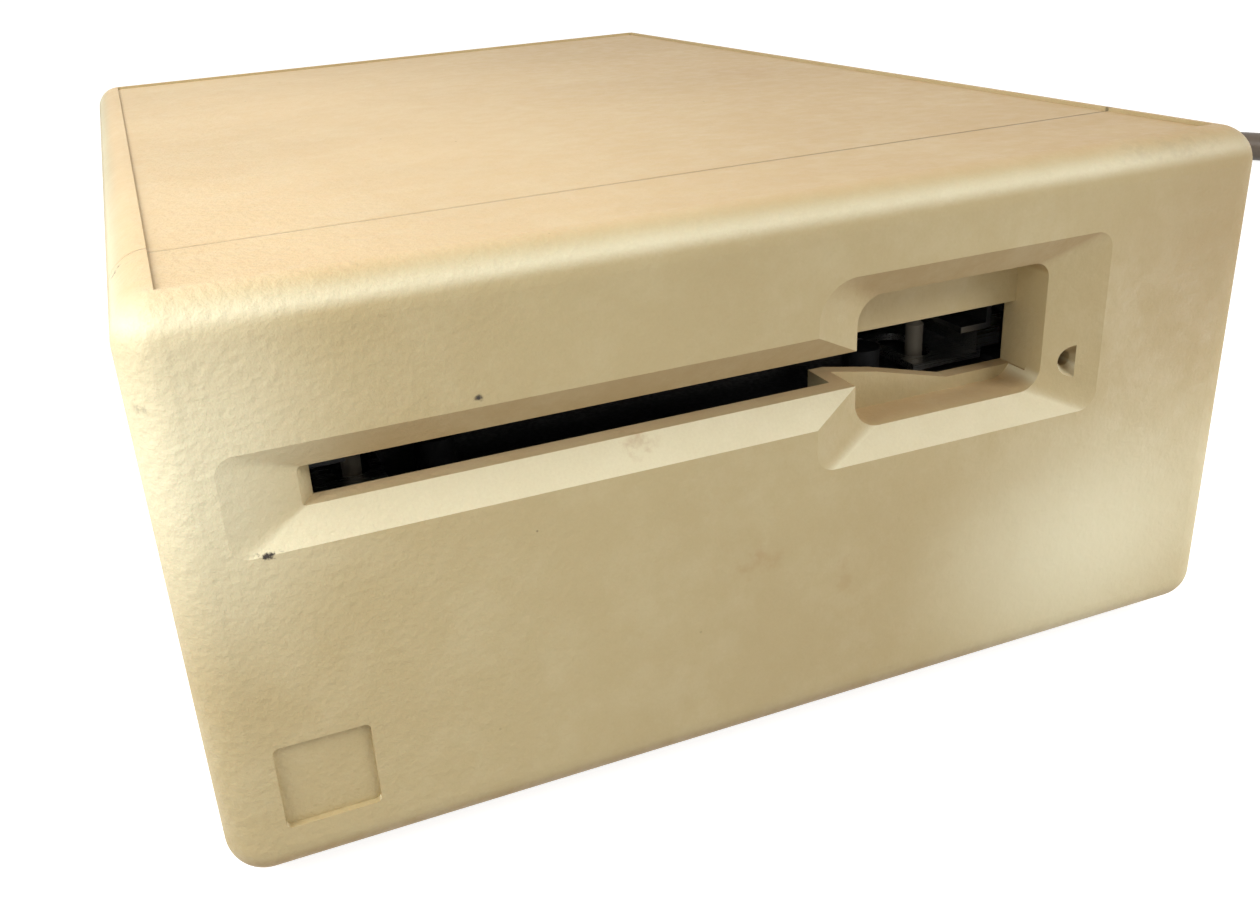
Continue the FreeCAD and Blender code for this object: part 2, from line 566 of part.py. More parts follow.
def disk_switches():
    """Three switch housings under the deck, each with a plunger that the disk presses."""
    housings = []
    for name, (x, y) in SWITCH_PLACES.items():
        body = block(x - 3.5, x + 3.5, y - 3.5, y + 3.5, DECK_LOW - 8, DECK_LOW)
        housings.append(body.cut(rod((x, y, DECK_LOW - 7), Z_AXIS, PLUNGER_R + 0.08, 8)))
        foot, top = DECK_LOW - 4, CARRIER_LOW
        profile = [(0, foot), (PLUNGER_R, foot), (PLUNGER_R, top - 0.6), (PLUNGER_R - 0.6, top), (0, top)]
        NODES[name + "_plunger"] = turned(profile, (x, y))
    NODES["switch_housings"] = Part.Compound(housings)


def gear_axes():
    """Places of the cam wheel, the double idler and the motor, a little over the mesh distance apart."""
    gap = GEAR_MODULE * (WHEEL_TEETH + PINION_TEETH) / 2 + 0.1
    places = [CAM_AXIS]
    for degrees in (IDLER_DIRECTION_DEG, MOTOR_DIRECTION_DEG):
        x, y = places[-1]
        turn = math.radians(degrees)
        places.append((x + gap * math.cos(turn), y + gap * math.sin(turn)))
    return places


def toothed_disc(teeth, centre, z, first_tooth_deg):
    """Spur gear blank with involute flanks, one tooth centred on the given direction."""
    pitch_r = GEAR_MODULE * teeth / 2
    base_r = pitch_r * math.cos(math.radians(20))
    inv20 = math.tan(math.radians(20)) - math.radians(20)
    radii = [pitch_r - 1.2 * GEAR_MODULE, max(base_r, pitch_r - 0.5 * GEAR_MODULE), pitch_r,
             pitch_r + 0.85 * GEAR_MODULE]
    flank = []
    for radius in radii:
        angle = math.acos(min(1.0, base_r / radius))
        half = math.pi / (2 * teeth) - BACKLASH / (2 * pitch_r) + inv20 - (math.tan(angle) - angle)
        flank.append((radius, half))
    cx, cy = centre
    points = []
    for tooth in range(teeth):
        middle = math.radians(first_tooth_deg) + 2 * math.pi * tooth / teeth
        for sign, side in ((-1, flank), (1, flank[::-1])):
            turns = [(radius, middle + sign * half) for radius, half in side]
            points += [(cx + radius * math.cos(turn), cy + radius * math.sin(turn)) for radius, turn in turns]
    return plate_xy(points, z, z + GEAR_THICK)


def eject_drive():
    """Eject motor, its pinion, the double idler and the cam wheel whose pin pushes the slide plate."""
    cam, idler, motor = gear_axes()
    cam_wheel = toothed_disc(WHEEL_TEETH, cam, GEAR_Z, IDLER_DIRECTION_DEG)
    cam_hub = rod((*cam, DECK_HIGH + 0.1), Z_AXIS, 2.6, GEAR_Z + GEAR_THICK + 0.8 - DECK_HIGH)
    cam_pin = rod((cam[0], cam[1] - CAM_ORBIT, GEAR_Z - 1.7), Z_AXIS, 1.0, 2.5)
    bore = rod((*cam, DECK_HIGH - 1), Z_AXIS, GEAR_SHAFT_R + 0.06, 12)
    NODES["cam_wheel"] = fused([cam_wheel, cam_hub, cam_pin]).cut(bore)
    step = 180.0 / PINION_TEETH
    low_gear = toothed_disc(PINION_TEETH, idler, GEAR_Z, IDLER_DIRECTION_DEG + 180 + step)
    high_z = GEAR_Z + GEAR_THICK
    high_gear = toothed_disc(WHEEL_TEETH, idler, high_z + 0.9, MOTOR_DIRECTION_DEG)
    hub = rod((*idler, DECK_HIGH + 0.1), Z_AXIS, 2.6, high_z + 1.0 - DECK_HIGH)
    bore = rod((*idler, DECK_HIGH - 1), Z_AXIS, GEAR_SHAFT_R + 0.06, 12)
    NODES["idler_gear"] = fused([low_gear, high_gear, hub]).cut(bore)
    pinion = toothed_disc(PINION_TEETH, motor, high_z + 0.9, MOTOR_DIRECTION_DEG + 180 + step)
    shaft = rod((*motor, DECK_LOW - 3.0), Z_AXIS, 1.0, 14.5)
    NODES["motor_pinion"] = fused([pinion, shaft])
    can = rod((*motor, DECK_LOW - 16.0), Z_AXIS, 6.0, 16.0)
    NODES["eject_motor"] = can.cut(rod((*motor, DECK_LOW - 4.0), Z_AXIS, 1.05, 5))


def boards():
    """Logic board under the motor, its chips, the flat connector and the lead to the cable."""
    x0, x1, y0, y1 = MID_X - 42.5, MID_X + 42.5, -54.0, 48.0
    board = block(x0, x1, y0, y1, LOGIC_TOP - 1.6, LOGIC_TOP)
    NODES["logic_board"] = board.cut(block(x1 - 14, x1 + 1, y0 - 1, y0 + 12, LOGIC_TOP - 2, LOGIC_TOP + 1))
    chips = [(-30, -30, 14, 14), (2, -28, 12, 12), (-32, 10, 8, 18), (-6, 8, 10, 10), (18, 4, 7, 12)]
    NODES["board_chips"] = Part.Compound(
        [block(MID_X + x, MID_X + x + w, y, y + d, LOGIC_TOP, LOGIC_TOP + 2.2) for x, y, w, d in chips])
    cans = [(-20, 34), (-10, 34), (30, -12), (30, 20)]
    capacitors = [rod((MID_X + x, y, LOGIC_TOP), Z_AXIS, 2.5, 4.5) for x, y in cans]
    NODES["board_capacitors"] = Part.Compound(capacitors)
    header = block(4.0, 30.0, 38.0, 47.0, LOGIC_TOP, LOGIC_TOP + 5.5)
    NODES["data_header"] = header.cut(block(5.5, 28.5, 39.5, 45.5, LOGIC_TOP + 1.5, LOGIC_TOP + 6))
    clamp_y = 80.0
    top, sag, thin = LOGIC_TOP + 1.0, 1.6, 1.2
    upper = [(48.0, top), (57.0, top), (68.0, top + sag), (clamp_y, top + 0.4)]
    lower = [(y, z - thin) for y, z in reversed(upper)]
    NODES["inner_lead"] = plate_yz(upper + lower, 22.0, 29.5)
    splice = block(20.0, 50.0, clamp_y, clamp_y + 6.0, CORD_EXIT[1] - 4.5, CORD_EXIT[1] + 4.5)
    NODES["lead_splice"] = splice


def rounded_plate(x0, x1, y0, y1, radius, z0, z1):
    """Flat plate in x and y with rounded corners."""
    plate = block(x0, x1, y0, y1, z0, z1)
    corners = [e for e in plate.Edges if abs(e.Vertexes[0].Z - e.Vertexes[-1].Z) > 1e-6]
    return plate.makeFillet(radius, corners)


def axle_turned(profile, centre):
    """Solid of revolution about an axis along y from radius and y pairs."""
    x, z = centre
    points = [Vector(x + r, y, z) for r, y in profile + profile[:1]]
    return Part.Face(Part.makePolygon(points)).revolve(Vector(x, 0, z), Y_AXIS, 360)


def cable_entry():
    """Grommet and tapered relief in the back wall, and the saddle that holds the cable inside."""
    rear_in = REAR - WALL
    inner = rear_in - 2.3
    profile = [(0.0, inner), (7.8, inner), (7.8, rear_in), (6.0, rear_in)]
    profile += [(6.0, REAR), (8.0, REAR), (8.0, REAR + 3.0)]
    ring_y = REAR + 3.0
    while ring_y < RELIEF_END - 4.0:
        crest = 7.2 - (ring_y - REAR) * 0.03
        groove, edge_y = crest - 0.8, ring_y + 3.0
        profile += [(crest, ring_y), (crest, edge_y), (groove, edge_y), (groove, ring_y + RING_PITCH)]
        ring_y += RING_PITCH
    profile += [(5.4, ring_y), (5.4, RELIEF_END), (0.0, RELIEF_END)]
    NODES["strain_relief"] = axle_turned(profile, CORD_EXIT)
    x, z = CORD_EXIT
    NODES["cable_stub"] = rod((x, 86.0, z), Y_AXIS, CORD_R, rear_in - 2.3 - 86.0)


def tangent_path(points):
    """Straight runs joined by tangent arcs, each as large as the shorter run beside it allows."""
    points = [Vector(*p) for p in points]
    edges, radii, start, length = [], [], points[0], 0.0
    for before, here, after in zip(points, points[1:], points[2:]):
        go, leave = here - before, after - here
        reach = 0.45 * min(go.Length, leave.Length)
        turn = go.getAngle(leave)
        radii.append(reach / math.tan(turn / 2))
        enter = here - Vector(go).normalize() * reach
        depart = here + Vector(leave).normalize() * reach
        middle = (enter + depart) * 0.5
        bow = radii[-1] * (1 / math.cos(turn / 2) - 1)
        peak = here + (middle - here).normalize() * bow
        edges += [Part.LineSegment(start, enter).toShape(), Part.Arc(enter, peak, depart).toShape()]
        start = depart
    edges.append(Part.LineSegment(start, points[-1]).toShape())
    return Part.Wire(edges), radii


def cord_tube(name, points):
    """Round cable along a path, with its bend radii and its volume reported."""
    path, radii = tangent_path(points)
    first = Vector(*points[1]) - Vector(*points[0])
    section = Part.Wire(Part.makeCircle(CORD_R, Vector(*points[0]), first))
    tube = path.makePipeShell([section], True, False)
    print(name, "radii", [round(r) for r in radii], "length", round(path.Length, 1),
          "volume ratio", round(tube.Volume / (math.pi * CORD_R ** 2 * path.Length), 4))
    NODES[name] = tube


def coil_point(turns):
    """Place on the coil after a number of turns, clockwise from above and rising a diameter a turn."""
    angle = math.radians(COIL_START_DEG) - 2 * math.pi * turns
    cx, cy = COIL_CENTRE
    return (cx + COIL_R * math.cos(angle), cy + COIL_R * math.sin(angle), CORD_R * (1 + 2 * turns))


def cable():
    """Free cable: the tube from the relief, the put-away coil, the tail and the plug."""
    cord_tube("cable_tube", ROUTE + [coil_point(0)])
    cx, cy = COIL_CENTRE
    top = CORD_R * (2 + 2 * COIL_TURNS)
    low, high = CORD_R, top - CORD_R
    a, b = Vector(cx + COIL_R - CORD_R, cy, low), Vector(cx + COIL_R + CORD_R, cy, low)
    c, d = Vector(b.x, cy, high), Vector(a.x, cy, high)
    outline = Part.Wire([
        Part.Arc(a, Vector(cx + COIL_R, cy, 0), b).toShape(), Part.makeLine(b, c),
        Part.Arc(c, Vector(cx + COIL_R, cy, top), d).toShape(), Part.makeLine(d, a),
    ])
    NODES["cable_coil"] = Part.Face(outline).revolve(Vector(cx, cy, 0), Z_AXIS, 360)
    cord_tube("cable_tail", [coil_point(COIL_TURNS)] + TAIL)
    plug()


def plug():
    """19-way D connector on the cable's end: hood, metal shell, pin block and two thumbscrews."""
    back, y, z = TAIL[-1]
    hood_front = back - 34.0
    outline = [(back, y - 6), (back - 8, y - 12), (hood_front, y - 19)]
    outline += [(hood_front, y + 19), (back - 8, y + 12), (back, y + 6)]
    hood = plate_xy(outline, 0.0, 2 * z)
    hood = hood.makeFillet(1.5, [e for e in hood.Edges if abs(e.Vertexes[0].Z - e.Vertexes[-1].Z) < 1e-6])
    NODES["plug_hood"] = hood
    flange = block(hood_front - 1.0, hood_front, y - 23.5, y + 23.5, 1.2, 2 * z - 1.2)
    skirt = plate_yz([(y - 16.0, z + 4.2), (y + 16.0, z + 4.2), (y + 14.6, z - 4.2), (y - 14.6, z - 4.2)],
                     hood_front - 6.5, hood_front - 1.0)
    bay = plate_yz([(y - 15.4, z + 3.7), (y + 15.4, z + 3.7), (y + 14.1, z - 3.7), (y - 14.1, z - 3.7)],
                   hood_front - 7.0, hood_front - 1.0)
    shell = fused([flange, skirt]).cut(bay)
    for side in (-1, 1):
        shell = shell.cut(rod((hood_front - 2, y + side * 21.0, z), X_AXIS, 1.45, 3))
    NODES["plug_shell"] = shell
    floor = plate_yz([(y - 15.4, z + 3.7), (y + 15.4, z + 3.7), (y + 14.1, z - 3.7), (y - 14.1, z - 3.7)],
                     hood_front - 2.4, hood_front - 1.0)
    places = [(y + PIN_PITCH * (i - 4.5), z + 1.4) for i in range(10)]
    places += [(y + PIN_PITCH * (i - 4.0), z - 1.4) for i in range(9)]
    pins = [plate_yz(polygon(*place, 0.5, 6), hood_front - 6.2, hood_front - 2.2) for place in places]
    NODES["plug_pins"] = fused([floor] + pins)
    screws = []
    for side in (-1, 1):
        screw_y = y + side * 21.0
        shank = rod((hood_front - 6.0, screw_y, z), X_AXIS, 1.4, 12.0)
        screws.append(fused([shank, rod((hood_front + 2.0, screw_y, z), X_AXIS, 1.9, 12.0)]))
    NODES["plug_screws"] = Part.Compound(screws)


def spindle():
    """Direct-drive spindle: coil board, flat rotor under the deck, and the hub that takes the disk."""
    board = rounded_plate(MID_X - 41, MID_X + 41, -82.0, 0.0, 4.0, BOARD_TOP - 1.6, BOARD_TOP)
    bearing = ring((MID_X, SPINDLE_Y, 19.0), Z_AXIS, 6.0, 2.05, 8.0)
    NODES["spindle_board"] = board.cut(rod((MID_X, SPINDLE_Y, 20), Z_AXIS, 6.05, 5))
    NODES["spindle_bearing"] = bearing
    coils = []
    for index in range(9):
        angle = 2 * math.pi * index / 9
        x, y = MID_X + 19 * math.cos(angle), SPINDLE_Y + 19 * math.sin(angle)
        outer = plate_xy(polygon(x, y, 5.3, 12), BOARD_TOP, BOARD_TOP + 2.4)
        coils.append(outer.cut(plate_xy(polygon(x, y, 2.4, 8), BOARD_TOP - 1, BOARD_TOP + 3)))
    NODES["spindle_coils"] = Part.Compound(coils)
    profile = [(2.03, 27.8), (30.0, 27.8), (30.0, 26.0), (31.5, 26.0), (31.5, 32.0), (9.0, 32.0), (7.0, 36.0),
               (2.03, 36.0)]
    NODES["spindle_rotor"] = turned(profile, (MID_X, SPINDLE_Y))
    hub_profile = [(2.03, 36.0), (6.0, 36.0), (6.0, 42.6), (12.5, 42.6)]
    hub_profile += [(12.5, 44.7), (12.0, HUB_TOP), (2.03, HUB_TOP)]
    hub = turned(hub_profile, (MID_X, SPINDLE_Y))
    drive_pin = rod((MID_X + 8.0, SPINDLE_Y, HUB_TOP - 0.5), Z_AXIS, 1.2, 1.5)
    NODES["spindle_hub"] = fused([hub, drive_pin])
    NODES["spindle_shaft"] = rod((MID_X, SPINDLE_Y, 19.5), Z_AXIS, 2.0, 27.4)


def turned(profile, centre):
    """Solid of revolution about a vertical axis from radius and height pairs."""
    x, y = centre
    points = [Vector(x + r, y, z) for r, z in profile + profile[:1]]
    return Part.Face(Part.makePolygon(points)).revolve(Vector(x, y, 0), Z_AXIS, 360)


def head_drive():
    """Guide rods, stepper, lead screw and the carriage that it moves."""
    NODES["guide_rods"] = Part.Compound([
        rod((ROD_LEFT_X, -27.5, ROD_Z), Y_AXIS, ROD_R, 69),
        rod((ROD_RIGHT_X, -27.5, ROD_Z), Y_AXIS, ROD_R, 41.5),
    ])
    can = rod((SCREW_X, 18.0, SCREW_Z), Y_AXIS, 10.0, 20.0)
    boss = ring((SCREW_X, 16.5, SCREW_Z), Y_AXIS, 4.0, 1.6, 1.6)
    bracket = block(SCREW_X - 11, SCREW_X + 11, 15.0, 16.5, DECK_LOW, SCREW_Z + 9.0)
    bracket = bracket.cut(rod((SCREW_X, 14, SCREW_Z), Y_AXIS, 1.8, 4))
    motor = fused([can, boss]).cut(rod((SCREW_X, 16, SCREW_Z), Y_AXIS, 1.6, 12))
    NODES["stepper_motor"] = motor
    foot = block(ROD_RIGHT_X + 4, SCREW_X + 11, 12.5, 16.5, DECK_HIGH, DECK_HIGH + 1.2)
    NODES["stepper_bracket"] = fused([bracket, foot])
    sensor = block(-36.0, -28.5, 27.0, 36.0, DECK_HIGH, 48.5)
    NODES["track_zero_sensor"] = sensor.cut(block(-33.5, -28.0, 26.0, 37.0, 43.6, 46.0))
    NODES["lead_screw"] = rod((SCREW_X, -29.3, SCREW_Z), Y_AXIS, 1.5, 57.0)
    head_carriage()


def head_carriage():
    """Moulded carriage with its bushes and nut, the lower head, and the sprung upper arm."""
    low, high = ROD_Z - 2.6, ROD_Z + 1.7
    sleeve = rod((ROD_LEFT_X, -9.0, ROD_Z), Y_AXIS, 2.6, 46.0)
    table = block(ROD_LEFT_X, 0.75, -9.0, 8.0, low, high)
    fork = block(-3.0, 2.9, -9.0, 8.0, low, high)
    tower = block(ROD_LEFT_X, -3.2, 24.5, 31.5, low, ARM_PIVOT_Z)
    flag = block(-31.5, ROD_LEFT_X, 30.0, 32.0, low + 3.8, low + 4.6)
    spine = block(ROD_LEFT_X, -6.0, 8.0, 31.5, low, low + 2.2)
    nut = block(2.0, SCREW_X + 2.6, -4.0, 6.0, SCREW_Z - 2.6, SCREW_Z + 2.4)
    body = fused([sleeve, table, fork, tower, spine, nut, flag])
    body = body.cut(rod((ROD_LEFT_X, -10, ROD_Z), Y_AXIS, ROD_R + 0.05, 50))
    body = body.cut(rod((ROD_RIGHT_X, -10, ROD_Z), Y_AXIS, ROD_R + 0.05, 20))
    body = body.cut(rod((SCREW_X, -10, SCREW_Z), Y_AXIS, 1.56, 20))
    body = body.cut(block(-16.5, -5.2, 22.0, 34.0, ARM_PIVOT_Z - 3.6, ARM_PIVOT_Z + 3))
    body = body.cut(rod((-17.8, ARM_PIVOT_Y, ARM_PIVOT_Z - 1.4), X_AXIS, 0.8, 20))
    NODES["head_carriage"] = body
    face = MEDIA_Z - 0.1
    profile = [(0.0, high), (4.4, high), (4.4, high + 1.0), (2.6, face - 0.5), (2.2, face), (0.0, face)]
    NODES["lower_head"] = turned(profile, (MID_X, HEAD_Y))
    upper_arm()


def upper_arm():
    """Upper head arm, drawn level and then raised to its rest angle about its pivot."""
    left = [(-15.5, 30.0), (-15.5, 22.0), (-12.6, 4.0), (-12.6, -7.0)]
    right = [(-3.9, -7.0), (-3.9, 4.0), (-5.0, 22.0), (-5.0, 30.0)]
    arm = plate_xy(left + right, 50.8, 52.0)
    crease = [block(x, x + 1.0, -5.0, 20.0, 51.9, 53.0) for x in (-12.0, -5.6)]
    hinge = rod((-15.0, ARM_PIVOT_Y, ARM_PIVOT_Z - 1.4), X_AXIS, 1.7, 9.5)
    neck = block(-15.0, -5.5, ARM_PIVOT_Y - 1.2, ARM_PIVOT_Y + 1.2, ARM_PIVOT_Z - 1.0, 51.0)
    arm = fused([arm, hinge, neck] + crease)
    arm = arm.cut(rod((-20, ARM_PIVOT_Y, ARM_PIVOT_Z - 1.4), X_AXIS, 0.85, 20))
    face = MEDIA_Z + 0.1
    head = turned([(0.0, face), (2.2, face), (2.6, face + 0.5), (2.6, 50.8), (0.0, 50.8)], (MID_X, HEAD_Y))
    pivot = Vector(0, ARM_PIVOT_Y, ARM_PIVOT_Z - 1.4)
    for name, shape in (("upper_arm", arm), ("upper_head", head)):
        raised = shape.copy()
        raised.rotate(pivot, X_AXIS, -ARM_TILT_DEG)
        NODES[name] = raised
    NODES["arm_pivot_pin"] = rod((-17.8, ARM_PIVOT_Y, ARM_PIVOT_Z - 1.4), X_AXIS, 0.8, 14.6)


def main():
    """Builds every piece and writes each to its own file."""
    front_bezel()
    upper_cover()
    base_pan()
    feet_and_screws()
    shields()
    drive_chassis()
    frame_brackets()
    disk_carrier()
    slide_plate()
    latch_lever()
    shutter_lever()
    disk_switches()
    spindle()
    head_drive()
    eject_drive()
    boards()
    cable_entry()
    cable()
    os.makedirs("parts", exist_ok=True)
    for name, shape in NODES.items():
        if not shape.isValid():
            print("not valid:", name)
        shape.exportStep("parts/" + name + ".step")


main()
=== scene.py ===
"""Looks of the external 3.5-inch disk drive: yellowed case, mechanism, captive cable and studio.

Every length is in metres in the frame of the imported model, unless its name ends in _MM.
"""

import logging
import math
from dataclasses import dataclass
from enum import Enum

import bmesh
import bpy
from mathutils import Matrix, Vector


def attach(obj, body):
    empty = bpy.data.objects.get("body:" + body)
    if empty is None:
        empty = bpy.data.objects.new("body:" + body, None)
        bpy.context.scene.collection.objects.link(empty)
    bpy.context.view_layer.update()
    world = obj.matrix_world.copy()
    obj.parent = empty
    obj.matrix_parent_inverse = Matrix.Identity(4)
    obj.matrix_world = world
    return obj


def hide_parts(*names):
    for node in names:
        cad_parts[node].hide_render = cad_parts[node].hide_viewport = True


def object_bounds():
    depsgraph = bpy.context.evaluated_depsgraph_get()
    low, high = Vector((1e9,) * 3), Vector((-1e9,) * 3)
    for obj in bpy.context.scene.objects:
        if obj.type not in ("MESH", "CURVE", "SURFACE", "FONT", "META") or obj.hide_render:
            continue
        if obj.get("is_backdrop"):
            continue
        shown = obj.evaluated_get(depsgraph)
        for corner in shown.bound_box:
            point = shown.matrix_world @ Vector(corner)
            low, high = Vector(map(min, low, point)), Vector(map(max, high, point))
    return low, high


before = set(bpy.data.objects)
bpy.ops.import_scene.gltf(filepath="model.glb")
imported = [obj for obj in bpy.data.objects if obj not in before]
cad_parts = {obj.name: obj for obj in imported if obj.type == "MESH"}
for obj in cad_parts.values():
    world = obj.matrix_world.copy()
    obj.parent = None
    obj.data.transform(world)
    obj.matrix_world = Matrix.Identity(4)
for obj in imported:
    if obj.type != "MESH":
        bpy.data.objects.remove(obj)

LOG = logging.getLogger("disk_drive")
MM = 0.001

Colour = tuple[float, float, float]
Point = tuple[float, float, float]


def srgb(red: int, green: int, blue: int) -> Colour:
    """Turns a display colour into the linear one that shaders use.

    Args:
        red: red from 0 to 255.
        green: green from 0 to 255.
        blue: blue from 0 to 255.

    Returns:
        The linear colour.
    """
    parts = [value / 255 for value in (red, green, blue)]
    return tuple(part / 12.92 if part <= 0.04045 else ((part + 0.055) / 1.055) ** 2.4 for part in parts)


class Brush(Enum):
    """How a metal's surface was made."""

    ROLLED = "rolled"
    TURNED = "turned"
    CAST = "cast"


@dataclass(frozen=True)
class PlasticFinish:
    """A moulded plastic or rubber.

    Attributes:
        name: name of the material.
        colour: its main colour.
        roughness: its mean roughness.
        grain_mm: size of the moulded grain.
        grain_depth_mm: depth of that grain.
        mottle: how far its colour varies.
    """

    name: str
    colour: Colour
    roughness: float
    grain_mm: float
    grain_depth_mm: float
    mottle: float


@dataclass(frozen=True)
class MetalFinish:
    """A metal surface.

    Attributes:
        name: name of the material.
        colour: its reflection colour.
        roughness: its mean roughness.
        brush: how it was made.
        stain: how much tarnish lies on it.
    """

    name: str
    colour: Colour
    roughness: float
    brush: Brush
    stain: float


@dataclass(frozen=True)
class Zone:
    """A soft-edged patch on a surface.

    Attributes:
        centre_mm: its middle.
        size_mm: its half sizes along x, y and z.
        colour: the colour there.
        strength: how far the colour is taken over at the middle.
        ragged: how strongly noise breaks up its edge.
    """

    centre_mm: Point
    size_mm: Point
    colour: Colour
    strength: float
    ragged: float = 0.0


class Graph:
    """Builds the node tree of one material, one short method for each kind of node."""

    def __init__(self, name: str) -> None:
        """Starts a material with its main shader and the place in millimetres.

        Args:
            name: the material's name.
        """
        self.material = bpy.data.materials.new(name)
        self.material.use_nodes = True
        self.tree = self.material.node_tree
        self.tree.nodes.clear()
        self.output = self.tree.nodes.new("ShaderNodeOutputMaterial")
        self.shader = self.tree.nodes.new("ShaderNodeBsdfPrincipled")
        self.tree.links.new(self.shader.outputs[0], self.output.inputs["Surface"])
        coordinates = self.tree.nodes.new("ShaderNodeTexCoord")
        self.place = self.scaled(coordinates.outputs["Object"], 1 / MM)

    def node(self, kind: str, **settings: object) -> bpy.types.Node:
        """Adds a node and sets its properties.

        Args:
            kind: the node's type name without its ShaderNode prefix.
            settings: properties of the node and their values.

        Returns:
            The new node.
        """
        node = self.tree.nodes.new("ShaderNode" + kind)
        for name, value in settings.items():
            setattr(node, name, value)
        return node

    def feed(self, socket: bpy.types.NodeSocket, value: object) -> None:
        """Links a socket to another one, or sets its constant.

        Args:
            socket: the input to feed.
            value: an output socket, a number or a colour.
        """
        if isinstance(value, bpy.types.NodeSocket):
            self.tree.links.new(value, socket)
        elif isinstance(value, tuple) and len(value) == 3 and socket.type == "RGBA":
            socket.default_value = (*value, 1.0)
        else:
            socket.default_value = value

    def scaled(self, vector: bpy.types.NodeSocket, factor: float) -> bpy.types.NodeSocket:
        """Multiplies a vector by a number.

        Args:
            vector: the vector's socket.
            factor: the number.

        Returns:
            The scaled vector.
        """
        node = self.node("VectorMath", operation="SCALE")
        self.feed(node.inputs[0], vector)
        self.feed(node.inputs["Scale"], factor)
        return node.outputs[0]

    def stretched(self, factors: Point, turn: float = 0.0) -> bpy.types.NodeSocket:
        """Stretches the place by a factor on each axis.

        Args:
            factors: the factors along x, y and z.
            turn: a turn about z in radians.

        Returns:
            The stretched place in millimetres.
        """
        node = self.node("Mapping", vector_type="POINT")
        self.feed(node.inputs["Vector"], self.place)
        node.inputs["Scale"].default_value = factors
        node.inputs["Rotation"].default_value = (0.0, 0.0, turn)
        return node.outputs[0]

    def noise(
        self, scale: float, detail: float = 3.0, rough: float = 0.5,
        place: bpy.types.NodeSocket | None = None,
    ) -> bpy.types.NodeSocket:
        """Adds a noise texture.

        Args:
            scale: waves per millimetre.
            detail: octaves.
            rough: how strong the finer octaves are.
            place: where it is read, the object's own place by default.

        Returns:
            The noise from 0 to 1.
        """
        node = self.node("TexNoise", noise_dimensions="3D")
        self.feed(node.inputs["Vector"], place or self.place)
        self.feed(node.inputs["Scale"], scale)
        self.feed(node.inputs["Detail"], detail)
        self.feed(node.inputs["Roughness"], rough)
        return node.outputs["Fac"]

    def cells(self, scale: float, place: bpy.types.NodeSocket | None = None) -> bpy.types.NodeSocket:
        """Adds a cell texture.

        Args:
            scale: cells per millimetre.
            place: where it is read.

        Returns:
            The distance to the nearest cell's middle.
        """
        node = self.node("TexVoronoi", feature="F1")
        self.feed(node.inputs["Vector"], place or self.place)
        self.feed(node.inputs["Scale"], scale)
        return node.outputs["Distance"]

    def math(self, operation: str, first: object, second: object = 0.0) -> bpy.types.NodeSocket:
        """Adds a sum, product or other operation on numbers.

        Args:
            operation: Blender's name of it.
            first: a socket or number.
            second: a socket or number.

        Returns:
            The result.
        """
        node = self.node("Math", operation=operation)
        self.feed(node.inputs[0], first)
        self.feed(node.inputs[1], second)
        return node.outputs[0]

    def span(
        self, value: object, low: float, high: float, start: float = 0.0, end: float = 1.0,
    ) -> bpy.types.NodeSocket:
        """Maps a range of a value smoothly and holds it outside.

        Args:
            value: the value's socket.
            low: the value that gives start.
            high: the value that gives end.
            start: the result at low.
            end: the result at high.

        Returns:
            The mapped value.
        """
        node = self.node("MapRange", interpolation_type="SMOOTHSTEP")
        self.feed(node.inputs["Value"], value)
        for name, number in (("From Min", low), ("From Max", high), ("To Min", start), ("To Max", end)):
            self.feed(node.inputs[name], number)
        return node.outputs["Result"]

    def mix(self, amount: object, first: object, second: object, blend: str = "MIX") -> bpy.types.NodeSocket:
        """Mixes two colours.

        Args:
            amount: how much of the second one.
            first: a colour or socket.
            second: a colour or socket.
            blend: Blender's name of the way to mix.

        Returns:
            The mixed colour.
        """
        node = self.node("Mix", data_type="RGBA", blend_type=blend)
        self.feed(node.inputs["Factor"], amount)
        self.feed(node.inputs[6], first)
        self.feed(node.inputs[7], second)
        return node.outputs[2]

    def axis(self, index: int, normal: bool = False) -> bpy.types.NodeSocket:
        """Reads one part of the place or of the surface's direction.

        Args:
            index: 0, 1 or 2 for x, y or z.
            normal: whether the direction is read.

        Returns:
            The number, in millimetres for a place.
        """
        node = self.node("SeparateXYZ")
        source = self.node("NewGeometry").outputs["Normal"] if normal else self.place
        self.feed(node.inputs[0], source)
        return node.outputs[index]

    def patch(self, zone: Zone) -> bpy.types.NodeSocket:
        """Gives how far a place lies inside a zone.

        Args:
            zone: the zone.

        Returns:
            Its strength at the middle, falling to 0 outside.
        """
        node = self.node("Mapping", vector_type="TEXTURE")
        self.feed(node.inputs["Vector"], self.place)
        node.inputs["Location"].default_value = zone.centre_mm
        node.inputs["Scale"].default_value = zone.size_mm
        length = self.node("VectorMath", operation="LENGTH")
        self.feed(length.inputs[0], node.outputs[0])
        distance = length.outputs["Value"]
        if zone.ragged:
            broken = self.noise(0.9 / min(zone.size_mm), 4.0, 0.6)
            distance = self.math("ADD", distance, self.span(broken, 0.3, 0.7, -zone.ragged, zone.ragged))
        return self.span(distance, 1.0, 0.0, 0.0, zone.strength)

    def bump(self, height: object, depth_mm: float, under: object = None) -> bpy.types.NodeSocket:
        """Turns a height into a bent normal.

        Args:
            height: the height from 0 to 1.
            depth_mm: how deep a full step is.
            under: a normal that it goes on top of.

        Returns:
            The normal.
        """
        node = self.node("Bump")
        self.feed(node.inputs["Strength"], 1.0)
        self.feed(node.inputs["Distance"], depth_mm * MM)
        self.feed(node.inputs["Height"], height)
        if under is not None:
            self.feed(node.inputs["Normal"], under)
        return node.outputs["Normal"]

